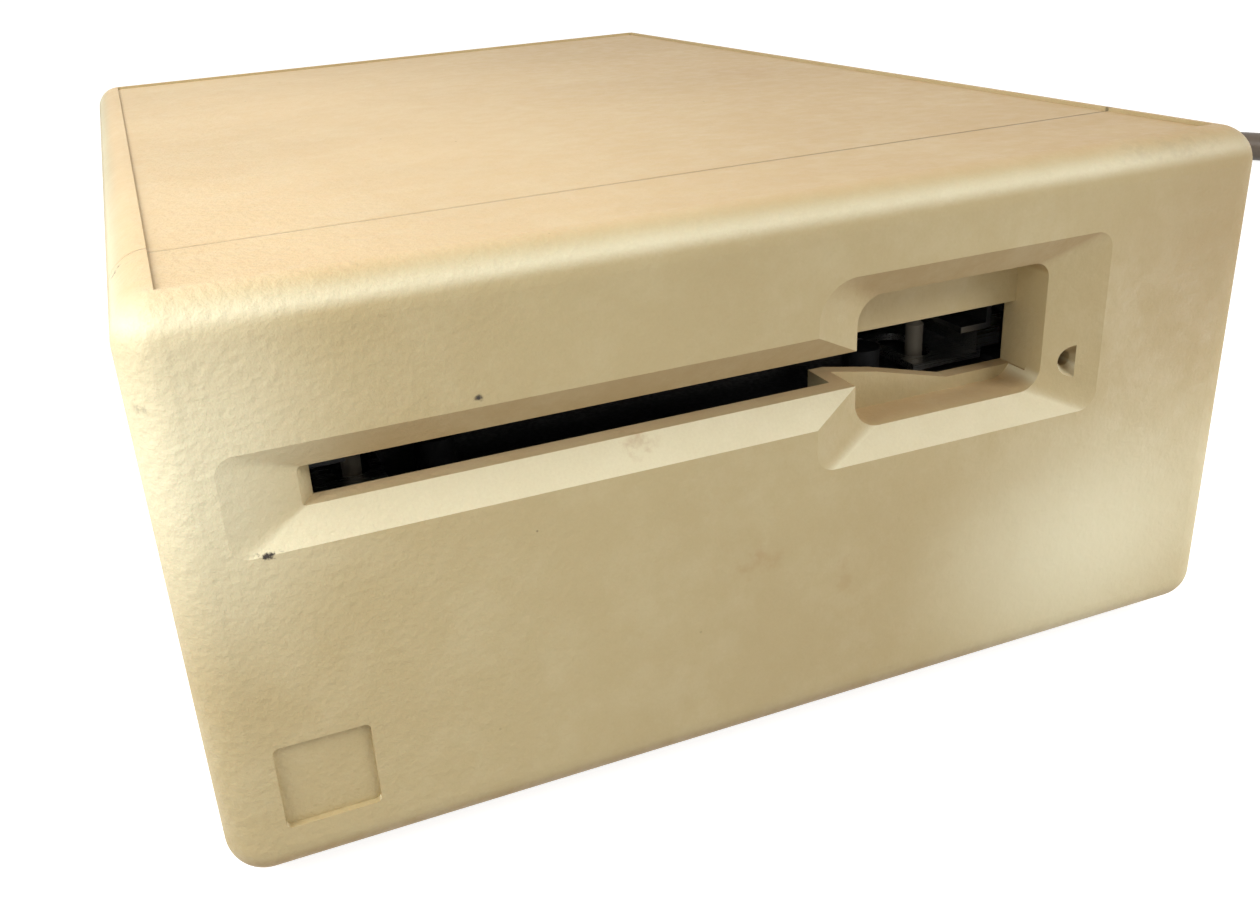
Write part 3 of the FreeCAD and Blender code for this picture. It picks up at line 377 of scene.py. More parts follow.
    def finish(self, **inputs: object) -> bpy.types.Material:
        """Feeds the main shader and gives the material.

        Args:
            inputs: the shader's inputs, with _ for a blank.

        Returns:
            The finished material.
        """
        for name, value in inputs.items():
            self.feed(self.shader.inputs[name.replace("_", " ")], value)
        return self.material


class Colours:
    """The colours of the object."""

    ABS_TOP = srgb(223, 197, 153)
    # ABS_FACE is darkened in part as painted shade on the front.
    ABS_FACE = srgb(195, 178, 135)
    # ABS_PALE is a random paler tone and also the colour of painted highlights.
    ABS_PALE = srgb(233, 225, 192)
    # ABS_BROWN is a random browner tone and also the colour of painted shade.
    ABS_BROWN = srgb(160, 132, 90)
    GRIME = srgb(92, 76, 54)
    INK = srgb(46, 38, 32)
    STAIN = srgb(172, 134, 92)
    CORD = srgb(112, 99, 86)
    STEEL = (0.62, 0.61, 0.58)
    ZINC = (0.52, 0.53, 0.53)
    # Dark grey painted as shade on parts inside the slot.
    PAINTED_SHADE_GREY = (0.2, 0.2, 0.2)
    # Near-black: a blackened finish and painted shade in one.
    BLACKENED_AND_PAINTED_SHADE = (0.05, 0.05, 0.052)
    BRIGHT = (0.78, 0.77, 0.74)
    BRASS = (0.72, 0.52, 0.25)
    COPPER = (0.72, 0.33, 0.16)


class Case:
    """The outer housing with its feet and screws."""

    PARTS = ("front_bezel", "upper_cover", "base_pan")
    MARKS_AND_PAINTED_LIGHT = (
        # The first two patches are painted highlights on the left and the lower right of the front; the small
        # lamps left and right add real light there too.
        Zone((-68.0, -99.0, 54.0), (22.0, 12.0, 30.0), Colours.ABS_PALE, 0.9),
        Zone((46.0, -99.0, 18.0), (34.0, 12.0, 26.0), Colours.ABS_PALE, 0.9),
        Zone((-18.6, -98.0, 46.8), (2.2, 4.0, 1.8), Colours.STAIN, 0.4, 0.5),
        Zone((-4.5, -99.0, 28.1), (3.0, 4.0, 2.4), Colours.STAIN, 0.35, 0.5),
        Zone((7.8, -99.0, 22.9), (1.8, 4.0, 3.4), Colours.STAIN, 0.22, 0.5),
        Zone((-36.9, -99.0, 56.2), (0.7, 3.0, 0.5), Colours.INK, 1.0, 0.3),
        Zone((-60.6, -99.0, 43.7), (1.3, 3.0, 0.5), Colours.INK, 1.0, 0.5),
        Zone((-70.4, -92.0, 62.4), (1.1, 1.4, 1.4), Colours.INK, 0.9, 0.3),
        Zone((-69.0, -97.0, 61.4), (1.1, 1.6, 1.1), Colours.INK, 0.8, 0.3),
        # Painted shade on the upper right of the front.
        Zone((68.0, -99.0, 58.0), (34.0, 14.0, 32.0), Colours.ABS_BROWN, 0.5),
        Zone((54.0, -96.5, 70.0), (12.0, 3.0, 1.5), Colours.GRIME, 0.12, 0.5),
        Zone((47.6, 2.4, 71.5), (6.0, 10.0, 3.0), Colours.STAIN, 0.2, 0.6),
    )
    SEAM_MM = -76.0
    DOTS_MM = -78.5

    def aged_plastic_with_painted_light(self) -> bpy.types.Material:
        """Yellowed, spark-textured case plastic with dirt, stains and scuffs, and with painted highlights and
        painted shade.

        Returns:
            The material.
        """
        graph = Graph("aged_case_plastic_with_painted_light")
        upward = graph.span(graph.axis(2, normal=True), 0.5, 0.95)
        rear = graph.span(graph.axis(1), -98.5, -94.0)
        top = graph.math("MULTIPLY", upward, rear)
        # The top has a paler, more yellowed tone than the front; the front's darker tone is partly painted
        # shade.
        colour = graph.mix(top, Colours.ABS_FACE, Colours.ABS_TOP)
        # Painted highlight: faces that slope up and forward are painted paler where the light catches them.
        slope = graph.span(graph.axis(2, normal=True), 0.2, 0.55)
        painted_highlight_on_slopes = graph.math("MULTIPLY", slope, graph.math("SUBTRACT", 1.0, upward))
        colour = graph.mix(graph.math("MULTIPLY", painted_highlight_on_slopes, 0.9), colour, Colours.ABS_PALE)
        # Painted shade: faces that point down are painted browner.
        under = graph.span(graph.axis(2, normal=True), -0.15, -0.5, 0.0, 0.65)
        colour = graph.mix(under, colour, Colours.ABS_BROWN)
        # Painted shade: the top is painted browner towards the right, where less light falls on it.
        shade = graph.span(graph.axis(0), -60.0, 75.0, 0.0, 0.6)
        colour = graph.mix(graph.math("MULTIPLY", shade, top), colour, Colours.ABS_BROWN)
        cloud = graph.span(graph.noise(0.018, 4.0, 0.6), 0.32, 0.7)
        colour = graph.mix(graph.math("MULTIPLY", cloud, 0.16), colour, Colours.ABS_BROWN)
        drift = graph.span(graph.noise(0.09, 5.0, 0.7), 0.42, 0.72)
        colour = graph.mix(graph.math("MULTIPLY", drift, 0.12), colour, Colours.ABS_PALE)
        fine = graph.span(graph.noise(3.2, 3.0, 0.6), 0.3, 0.75)
        colour = graph.mix(graph.math("MULTIPLY", fine, 0.07), colour, Colours.ABS_BROWN)
        for zone in self.MARKS_AND_PAINTED_LIGHT:
            colour = graph.mix(graph.patch(zone), colour, zone.colour)
        colour = graph.mix(self.seam_dirt(graph), colour, Colours.GRIME)
        colour = graph.mix(self.specks(graph), colour, Colours.GRIME)
        pits = graph.cells(0.8)
        ripple = graph.noise(1.15, 3.0, 0.62)
        grain = graph.math("ADD", graph.math("MULTIPLY", pits, 0.4), ripple)
        coarse = graph.span(graph.axis(0), -20.0, -66.0, 0.6, 1.4)
        normal = graph.bump(graph.math("MULTIPLY", grain, coarse), 0.13)
        offset = graph.math("ABSOLUTE", graph.math("SUBTRACT", graph.axis(1), self.SEAM_MM))
        normal = graph.bump(graph.span(offset, 0.0, 0.4), 0.3, normal)
        sag = graph.noise(0.03, 2.0, 0.4)
        normal = graph.bump(sag, 0.35, normal)
        rough = graph.span(graph.noise(0.35, 4.0, 0.6), 0.3, 0.7, 0.5, 0.64)
        return graph.finish(
            Base_Color=colour, Roughness=rough, Normal=normal, Specular_IOR_Level=0.42,
            Subsurface_Weight=0.04, Subsurface_Scale=0.0012,
        )

    def seam_dirt(self, graph: Graph) -> bpy.types.NodeSocket:
        """Grime along the joint of cap and cover, in dots at its left end.

        Args:
            graph: the material that is being built.

        Returns:
            How much grime there is.
        """
        from_seam = graph.math("ABSOLUTE", graph.math("SUBTRACT", graph.axis(1), self.SEAM_MM))
        near = graph.span(from_seam, 0.34, 0.1)
        right = graph.span(graph.axis(0), -45.0, 50.0, 0.0, 0.5)
        line = graph.math("MULTIPLY", near, right)
        from_dots = graph.math("ABSOLUTE", graph.math("SUBTRACT", graph.axis(1), self.DOTS_MM))
        wide = graph.span(from_dots, 2.2, 0.3)
        left = graph.span(graph.axis(0), -66.0, -68.5)
        high = graph.span(graph.axis(2), 58.0, 63.0)
        dots = graph.span(graph.noise(0.9, 3.0, 0.7), 0.55, 0.66)
        corner = graph.math("MULTIPLY", wide, left)
        dotted = graph.math("MULTIPLY", corner, graph.math("MULTIPLY", high, dots))
        return graph.math("MAXIMUM", line, graph.math("MULTIPLY", dotted, 0.6))

    def specks(self, graph: Graph) -> bpy.types.NodeSocket:
        """Rare dark specks, as old moulded plastic has.

        Args:
            graph: the material that is being built.

        Returns:
            How much of a speck there is.
        """
        dot = graph.span(graph.cells(0.33), 0.075, 0.03)
        kept = graph.span(graph.noise(0.11, 2.0, 0.5), 0.62, 0.7)
        return graph.math("MULTIPLY", graph.math("MULTIPLY", dot, kept), 0.6)

    def dress(self) -> None:
        """Gives the case, the feet and the screws their materials."""
        plastic = self.aged_plastic_with_painted_light()
        for node in self.PARTS:
            cover_node(node, plastic)
        rubber = PlasticFinish("foot_rubber", srgb(52, 50, 47), 0.72, 0.8, 0.05, 0.3)
        cover_node("rubber_feet", moulded(rubber))
        steel = MetalFinish("screw_steel", Colours.STEEL, 0.36, Brush.TURNED, 0.3)
        for node in ("case_screws", "bracket_screws", "plug_screws"):
            cover_node(node, metal(steel))


def moulded(finish: PlasticFinish) -> bpy.types.Material:
    """A moulded plastic or rubber with grain and uneven colour.

    Args:
        finish: its values.

    Returns:
        The material.
    """
    graph = Graph(finish.name)
    cloud = graph.span(graph.noise(0.12, 4.0, 0.6), 0.3, 0.7)
    darker = tuple(part * (1 - finish.mottle) for part in finish.colour)
    colour = graph.mix(cloud, finish.colour, darker)
    dust = graph.span(graph.noise(1.4, 4.0, 0.7), 0.55, 0.8, 0.0, 0.18)
    colour = graph.mix(dust, colour, Colours.STAIN)
    grain = graph.math("ADD", graph.cells(1 / finish.grain_mm), graph.noise(1.5 / finish.grain_mm, 3.0, 0.6))
    rough = graph.span(graph.noise(0.5, 3.0, 0.6), 0.3, 0.7, finish.roughness - 0.07, finish.roughness + 0.07)
    return graph.finish(Base_Color=colour, Roughness=rough, Normal=graph.bump(grain, finish.grain_depth_mm))


def metal(finish: MetalFinish) -> bpy.types.Material:
    """A metal with the marks of how it was made and some tarnish.

    Args:
        finish: its values.

    Returns:
        The material.
    """
    graph = Graph(finish.name)
    stretch = {Brush.ROLLED: (0.05, 4.0, 4.0), Brush.TURNED: (5.0, 0.2, 5.0), Brush.CAST: (1.0, 1.0, 1.0)}
    marks = graph.noise(1.6, 4.0, 0.6, graph.stretched(stretch[finish.brush]))
    cloud = graph.span(graph.noise(0.15, 5.0, 0.65), 0.4, 0.75, 0.0, finish.stain)
    dull = tuple(part * 0.45 for part in finish.colour)
    colour = graph.mix(cloud, finish.colour, dull)
    rough = graph.span(marks, 0.3, 0.7, finish.roughness - 0.08, finish.roughness + 0.12)
    depth = 0.05 if finish.brush is Brush.CAST else 0.012
    return graph.finish(Base_Color=colour, Metallic=1.0, Roughness=rough, Normal=graph.bump(marks, depth))


def cover_node(node: str, material: bpy.types.Material) -> None:
    """Puts a material on a CAD node.

    Args:
        node: the node's name.
        material: its material.
    """
    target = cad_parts[node]
    if not target.material_slots:
        target.data.materials.append(material)
    for slot in target.material_slots:
        slot.material = material
    LOG.info("%s has %s", node, material.name)


class Mechanism:
    """Frame, loading parts, spindle and heads behind the slot."""

    FINISHES = {
        # Painted shade: the shield and the carrier are dark grey, standing for the unlit inside of the slot.
        MetalFinish("tinned_sheet_painted_shade", Colours.PAINTED_SHADE_GREY, 0.4, Brush.ROLLED, 0.35): ("shield_tray", "shield_lid"),
        # The chassis's near-black is its blackened finish and also painted shade for the unlit slot.
        MetalFinish("blackened_cast_and_painted_shade", Colours.BLACKENED_AND_PAINTED_SHADE, 0.55, Brush.CAST, 0.3): ("drive_chassis",),
        MetalFinish("die_cast", Colours.ZINC, 0.5, Brush.CAST, 0.3): ("head_carriage", "upper_arm"),
        MetalFinish("painted_shade_sheet", Colours.PAINTED_SHADE_GREY, 0.36, Brush.ROLLED, 0.4): ("disk_carrier",),
        MetalFinish("plated_sheet", Colours.STEEL, 0.3, Brush.ROLLED, 0.25): (
            "slide_plate", "shutter_lever", "mounting_brackets", "stepper_bracket",
        ),
        MetalFinish("spring_steel", Colours.BRIGHT, 0.22, Brush.ROLLED, 0.15): (
            "disk_leaf_springs", "shutter_rivet",
        ),
        MetalFinish("ground_steel", Colours.BRIGHT, 0.16, Brush.TURNED, 0.1): (
            "guide_rods", "lead_screw", "spindle_shaft", "arm_pivot_pin",
        ),
        MetalFinish("turned_steel", Colours.STEEL, 0.28, Brush.TURNED, 0.25): (
            "spindle_rotor", "spindle_hub", "stepper_motor", "eject_motor",
        ),
        MetalFinish("sintered_bronze", Colours.BRASS, 0.42, Brush.CAST, 0.3): ("spindle_bearing",),
    }
    PLASTICS = {
        PlasticFinish("white_acetal", srgb(226, 222, 206), 0.38, 0.5, 0.012, 0.08): (
            "cam_wheel", "idler_gear", "motor_pinion", "latch_lever",
        ),
        PlasticFinish("black_switch_plastic", srgb(34, 33, 33), 0.42, 0.6, 0.02, 0.25): (
            "switch_housings", "track_zero_sensor",
        ),
        PlasticFinish("plunger_plastic", srgb(196, 188, 172), 0.4, 0.5, 0.01, 0.1): (
            "write_protect_plunger", "disk_in_plunger", "density_plunger",
        ),
        PlasticFinish("head_ceramic", srgb(70, 68, 66), 0.25, 0.4, 0.004, 0.1): ("lower_head", "upper_head"),
    }

    def dress(self) -> None:
        """Gives every inner part of the mechanism its material."""
        for finish, nodes in self.FINISHES.items():
            material = metal(finish)
            for node in nodes:
                cover_node(node, material)
        for finish, nodes in self.PLASTICS.items():
            material = moulded(finish)
            for node in nodes:
                cover_node(node, material)


class Electronics:
    """Boards, chips and inner wiring."""

    PLASTICS = {
        PlasticFinish("chip_epoxy", srgb(40, 40, 42), 0.5, 0.3, 0.01, 0.15): "board_chips",
        PlasticFinish("capacitor_sleeve", srgb(44, 60, 96), 0.3, 2.0, 0.01, 0.2): "board_capacitors",
        PlasticFinish("header_plastic", srgb(30, 30, 31), 0.45, 0.5, 0.02, 0.2): "data_header",
        PlasticFinish("lead_sleeve", srgb(90, 88, 84), 0.5, 1.0, 0.02, 0.2): "inner_lead",
        PlasticFinish("splice_sleeve", srgb(40, 38, 38), 0.45, 1.0, 0.02, 0.2): "lead_splice",
    }

    def board(self) -> bpy.types.Material:
        """Green solder mask with copper tracks under it.

        Returns:
            The material.
        """
        graph = Graph("board_laminate")
        tracks = graph.node("TexBrick", offset=0.5, squash=1.0)
        graph.feed(tracks.inputs["Vector"], graph.stretched((0.42, 0.42, 0.0)))
        graph.feed(tracks.inputs["Scale"], 1.0)
        graph.feed(tracks.inputs["Mortar Size"], 0.09)
        pattern = tracks.outputs["Fac"]
        cloud = graph.span(graph.noise(0.2, 4.0, 0.6), 0.3, 0.7)
        mask = graph.mix(cloud, srgb(38, 84, 52), srgb(26, 62, 40))
        colour = graph.mix(graph.math("MULTIPLY", pattern, 0.6), mask, srgb(74, 122, 62))
        normal = graph.bump(pattern, 0.04)
        return graph.finish(Base_Color=colour, Roughness=0.32, Normal=normal)

    def dress(self) -> None:
        """Gives the boards and what is on them their materials."""
        laminate = self.board()
        for node in ("logic_board", "spindle_board"):
            cover_node(node, laminate)
        for finish, node in self.PLASTICS.items():
            cover_node(node, moulded(finish))
        copper = MetalFinish("enamelled_copper", Colours.COPPER, 0.32, Brush.TURNED, 0.2)
        cover_node("spindle_coils", metal(copper))


class Cable:
    """The captive cable: strain relief, cord, coil and plug."""

    RADIUS = 0.005
    COIL_CENTRE = (0.262, -0.026)
    COIL_RADIUS = 0.052
    COIL_START = math.radians(-25)
    COIL_TURNS = 1.16
    POINTS_PER_TURN = 14
    ROUTE = (
        (0.045, 0.133, 0.016), (0.045, 0.160, 0.0135), (0.050, 0.190, 0.007), (0.066, 0.218, 0.005),
        (0.098, 0.238, 0.005), (0.140, 0.243, 0.005), (0.186, 0.232, 0.005), (0.231, 0.210, 0.005),
        (0.275, 0.178, 0.005), (0.316, 0.138, 0.005), (0.337, 0.095, 0.005), (0.348, 0.047, 0.005),
        (0.331, -0.003, 0.005),
    )
    TAIL = ((0.228, -0.082, 0.011), (0.192, -0.085, 0.0075))
    LENGTH = 1.02
    NODES = ("cable_tube", "cable_coil", "cable_tail")
    PLUG = ("plug_hood", "plug_shell", "plug_pins", "plug_screws")

    def coil_point(self, turns: float) -> Point:
        """Gives a point of the coil, which runs clockwise and climbs a diameter each turn.

        Args:
            turns: how far round it is.

        Returns:
            The point.
        """
        angle = self.COIL_START - 2 * math.pi * turns
        x = self.COIL_CENTRE[0] + self.COIL_RADIUS * math.cos(angle)
        y = self.COIL_CENTRE[1] + self.COIL_RADIUS * math.sin(angle)
        return (x, y, self.RADIUS * (1 + 2 * turns))

    def build(self, extras: list[bpy.types.Object]) -> bpy.types.Object:
        """Lays the cord along its route, round the coil and into the plug.

        Args:
            extras: small fittings on the plug; not used.

        Returns:
            The cord.
        """
        steps = round(self.COIL_TURNS * self.POINTS_PER_TURN)
        coil = [self.coil_point(self.COIL_TURNS * step / steps) for step in range(steps + 1)]
        points = [*self.ROUTE, *coil, *self.TAIL]
        curve = bpy.data.curves.new("cable", "CURVE")
        curve.dimensions = "3D"
        curve.bevel_depth = self.RADIUS
        curve.bevel_resolution = 6
        curve.resolution_u = 10
        curve.use_fill_caps = True
        spline = curve.splines.new("NURBS")
        spline.points.add(len(points) - 1)
        for target, point in zip(spline.points, points):
            target.co = (*point, 1.0)
        spline.order_u = 3
        spline.use_endpoint_u = True
        cord = bpy.data.objects.new("cable", curve)
        bpy.context.scene.collection.objects.link(cord)
        cord.data.materials.append(self.sheath())
        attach(cord, "case")
        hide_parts(*self.NODES)
        LOG.info("the cord has %d points", len(points))
        return cord

    def sheath(self) -> bpy.types.Material:
        """Grey-brown cable sheath whose roughness varies a little at random.

        Returns:
            The material.
        """
        return moulded(PlasticFinish("cable_sheath", Colours.CORD, 0.42, 1.6, 0.03, 0.18))

    def hood_plastic(self) -> bpy.types.Material:
        """Pale plastic of the plug's hood."""
        return moulded(PlasticFinish("plug_plastic", srgb(208, 196, 166), 0.5, 0.9, 0.05, 0.12))

    def dress(self, hood: bpy.types.Material) -> None:
        """Gives the relief and the plug their materials.

        Args:
            hood: the hood's plastic.
        """
        cover_node("plug_hood", hood)
        relief = moulded(PlasticFinish("relief_rubber", srgb(104, 92, 80), 0.5, 1.2, 0.04, 0.2))
        cover_node("strain_relief", relief)
        cover_node("cable_stub", relief)
        cover_node("plug_shell", metal(MetalFinish("plug_nickel", Colours.BRIGHT, 0.24, Brush.ROLLED, 0.15)))
        cover_node("plug_pins", metal(MetalFinish("pin_gold", Colours.BRASS, 0.2, Brush.TURNED, 0.1)))


class Pattern(Enum):
    """How copies of a small shape are set out."""

    ROW = "row"
    RING = "ring"


@dataclass(frozen=True)
class Copies:
    """Equal small blocks or ridges in a row or a ring.

    Attributes:
        pattern: how they are set out.
        count: how many there are.
        start: the first one's place in a row, or the middle of a ring whose axis is x.
        step: from one to the next in a row.
        size: the block's size, or a ridge's length, radius and the ring's radius.
    """

    pattern: Pattern
    count: int
    start: Point
    step: Point
    size: Point


class Repeats:
    """Small repeated fittings, set out by Geometry Nodes and turned into plain meshes."""

    INPUTS = (
        ("Count", "NodeSocketInt"), ("Start", "NodeSocketVector"), ("Step", "NodeSocketVector"),
        ("Size", "NodeSocketVector"),
    )

    def __init__(self, material: bpy.types.Material) -> None:
        """Makes one tree for each pattern.

        Args:
            material: what the copies are made of.
        """
        self.material = material
        self.trees = {Pattern.ROW: self.tree(Pattern.ROW), Pattern.RING: self.tree(Pattern.RING)}

    def tree(self, pattern: Pattern) -> bpy.types.NodeTree:
        """Builds the tree of one pattern with named inputs for its sizes.

        Args:
            pattern: how the copies are set out.

        Returns:
            The tree.
        """
        tree = bpy.data.node_groups.new("copies_in_a_" + pattern.value, "GeometryNodeTree")
        tree.interface.new_socket("Geometry", in_out="OUTPUT", socket_type="NodeSocketGeometry")
        for name, kind in self.INPUTS:
            tree.interface.new_socket(name, in_out="INPUT", socket_type=kind)
        sizes = tree.nodes.new("NodeGroupInput")
        link = tree.links.new
        spread = tree.nodes.new("GeometryNodeInstanceOnPoints")
        if pattern is Pattern.ROW:
            points = tree.nodes.new("GeometryNodeMeshLine")
            points.mode = "OFFSET"
            link(sizes.outputs["Start"], points.inputs["Start Location"])
            link(sizes.outputs["Step"], points.inputs["Offset"])
            shape = tree.nodes.new("GeometryNodeMeshCube")
            link(sizes.outputs["Size"], shape.inputs["Size"])
            placed = spread.outputs[0]
        else:
            parts = tree.nodes.new("ShaderNodeSeparateXYZ")
            link(sizes.outputs["Size"], parts.inputs[0])
            points = tree.nodes.new("GeometryNodeMeshCircle")
            link(parts.outputs[2], points.inputs["Radius"])
            shape = tree.nodes.new("GeometryNodeMeshCylinder")
            shape.inputs["Vertices"].default_value = 6
            link(parts.outputs[0], shape.inputs["Depth"])
            link(parts.outputs[1], shape.inputs["Radius"])
            place = tree.nodes.new("GeometryNodeTransform")
            place.inputs["Rotation"].default_value = (0.0, math.pi / 2, 0.0)
            link(sizes.outputs["Start"], place.inputs["Translation"])
            link(spread.outputs[0], place.inputs["Geometry"])
            placed = place.outputs[0]
        count = "Count" if pattern is Pattern.ROW else "Vertices"
        link(sizes.outputs["Count"], points.inputs[count])
        link(points.outputs["Mesh"], spread.inputs["Points"])
        link(shape.outputs["Mesh"], spread.inputs["Instance"])
        real = tree.nodes.new("GeometryNodeRealizeInstances")
        paint = tree.nodes.new("GeometryNodeSetMaterial")
        paint.inputs["Material"].default_value = self.material
        result = tree.nodes.new("NodeGroupOutput")
        link(placed, real.inputs[0])
        link(real.outputs[0], paint.inputs["Geometry"])
        link(paint.outputs["Geometry"], result.inputs[0])
        return tree

    def mesh(self, copies: Copies) -> bpy.types.Mesh:
        """Evaluates one set of copies.

        Args:
            copies: the set.

        Returns:
            Its plain mesh.
        """
        holder = bpy.data.objects.new("holder", bpy.data.meshes.new("holder"))
        bpy.context.scene.collection.objects.link(holder)
        modifier = holder.modifiers.new("copies", "NODES")
        modifier.node_group = self.trees[copies.pattern]
        values = {"Count": copies.count, "Start": copies.start, "Step": copies.step, "Size": copies.size}
        for item in modifier.node_group.interface.items_tree:
            if item.in_out == "INPUT":
                modifier[item.identifier] = values[item.name]
        seen = holder.evaluated_get(bpy.context.evaluated_depsgraph_get())
        mesh = bpy.data.meshes.new_from_object(seen)
        holder.modifiers.remove(modifier)
        bpy.data.objects.remove(holder)
        return mesh

    def piece(self, name: str, body: str, sets: list[Copies]) -> bpy.types.Object:
        """Joins sets of copies into one piece on a body.

        Args:
            name: the piece's name.
            body: the body that it rides on.
            sets: the sets of copies.

        Returns:
            The piece.
        """
        joined = bmesh.new()
        for copies in sets:
            part = self.mesh(copies)
            joined.from_mesh(part)
            bpy.data.meshes.remove(part)
        mesh = bpy.data.meshes.new(name)
        joined.to_mesh(mesh)
        joined.free()
        mesh.materials.clear()
        mesh.materials.append(self.material)
        piece = bpy.data.objects.new(name, mesh)
        bpy.context.scene.collection.objects.link(piece)
        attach(piece, body)
        LOG.info("%s has %d sets of copies", name, len(sets))
        return piece


def islands(node: str) -> list[tuple[Vector, Vector]]:
    """Finds the boxes of the separate solids in one node.

    Args:
        node: the node's name.

    Returns:
        The low and high corner of each solid, in order of x and y.
    """
    shape = bmesh.new()
    shape.from_mesh(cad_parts[node].data)
    bmesh.ops.remove_doubles(shape, verts=shape.verts, dist=1e-6)
    left = set(shape.verts)
    boxes = []
    while left:
        stack = [left.pop()]
        found = list(stack)
        while stack:
            for edge in stack.pop().link_edges:
                for vertex in edge.verts:
                    if vertex in left:
                        left.remove(vertex)
                        stack.append(vertex)
                        found.append(vertex)
        low = Vector([min(vertex.co[axis] for vertex in found) for axis in range(3)])
        high = Vector([max(vertex.co[axis] for vertex in found) for axis in range(3)])
        boxes.append((low, high))
    shape.free()
    return sorted(boxes, key=lambda box: (round(box[0].x, 4), round(box[0].y, 4)))


class Fittings:
    """Chip legs on the board, and the ribs and knurls that a hand feels on the plug."""

    LEG_PITCH = 0.00127
    LEG = (0.0013, 0.0005, 0.0009)
    KNURLS = 18
    KNURL = (0.0044, 0.00022)
    RIB_COUNT = 6
    RIB_STEP = 0.0024
    RIB = (0.0011, 0.02, 0.0009)

    def legs(self) -> bpy.types.Object:
        """Sets rows of legs along both long sides of every chip.

        Returns:
            The legs.
        """
        tin = metal(MetalFinish("tinned_legs", Colours.BRIGHT, 0.3, Brush.ROLLED, 0.2))
        sets = []
        for low, high in islands("board_chips"):
            count = int((high.y - low.y - 2 * self.LEG[1]) / self.LEG_PITCH)
            first = (low.y + high.y - (count - 1) * self.LEG_PITCH) / 2
            for x in (low.x - self.LEG[0] / 2, high.x + self.LEG[0] / 2):
                start = (x, first, low.z + self.LEG[2] / 2)
                sets.append(Copies(Pattern.ROW, count, start, (0.0, self.LEG_PITCH, 0.0), self.LEG))
        return Repeats(tin).piece("chip_legs", "case", sets)

    def knurls(self) -> bpy.types.Object:
        """Sets ridges round the grips of the two thumbscrews.

        Returns:
            The ridges.
        """
        steel = metal(MetalFinish("knurled_steel", Colours.STEEL, 0.34, Brush.TURNED, 0.3))
        sets = []
        for low, high in islands("plug_screws"):
            middle = (high.x - self.KNURL[0] / 2 - 0.0004, (low.y + high.y) / 2, (low.z + high.z) / 2)
            ring = (high.y - low.y) / 2
            size = (self.KNURL[0], self.KNURL[1], ring)
            sets.append(Copies(Pattern.RING, self.KNURLS, middle, (0.0, 0.0, 0.0), size))
        return Repeats(steel).piece("thumbscrew_knurls", "case", sets)

    def ribs(self, plastic: bpy.types.Material) -> bpy.types.Object:
        """Sets finger ribs across the top of the plug's hood.

        Args:
            plastic: the hood's material.

        Returns:
            The ribs.
        """
        low, high = islands("plug_hood")[0]
        start = (low.x + 0.009, (low.y + high.y) / 2, high.z)
        rows = Copies(Pattern.ROW, self.RIB_COUNT, start, (self.RIB_STEP, 0.0, 0.0), self.RIB)
        return Repeats(plastic).piece("plug_ribs", "case", [rows])


@dataclass(frozen=True)
class SoftBox:
    """An area light.

    Attributes:
        name: the light's name.
        place: where it stands.
        target: what it points at.
        size: its width and height.
        power: its power in watts.
        colour: its colour.
    """

    name: str
    place: Point
    target: Point
    size: tuple[float, float]
    power: float
    colour: Colour = (1.0, 1.0, 1.0)


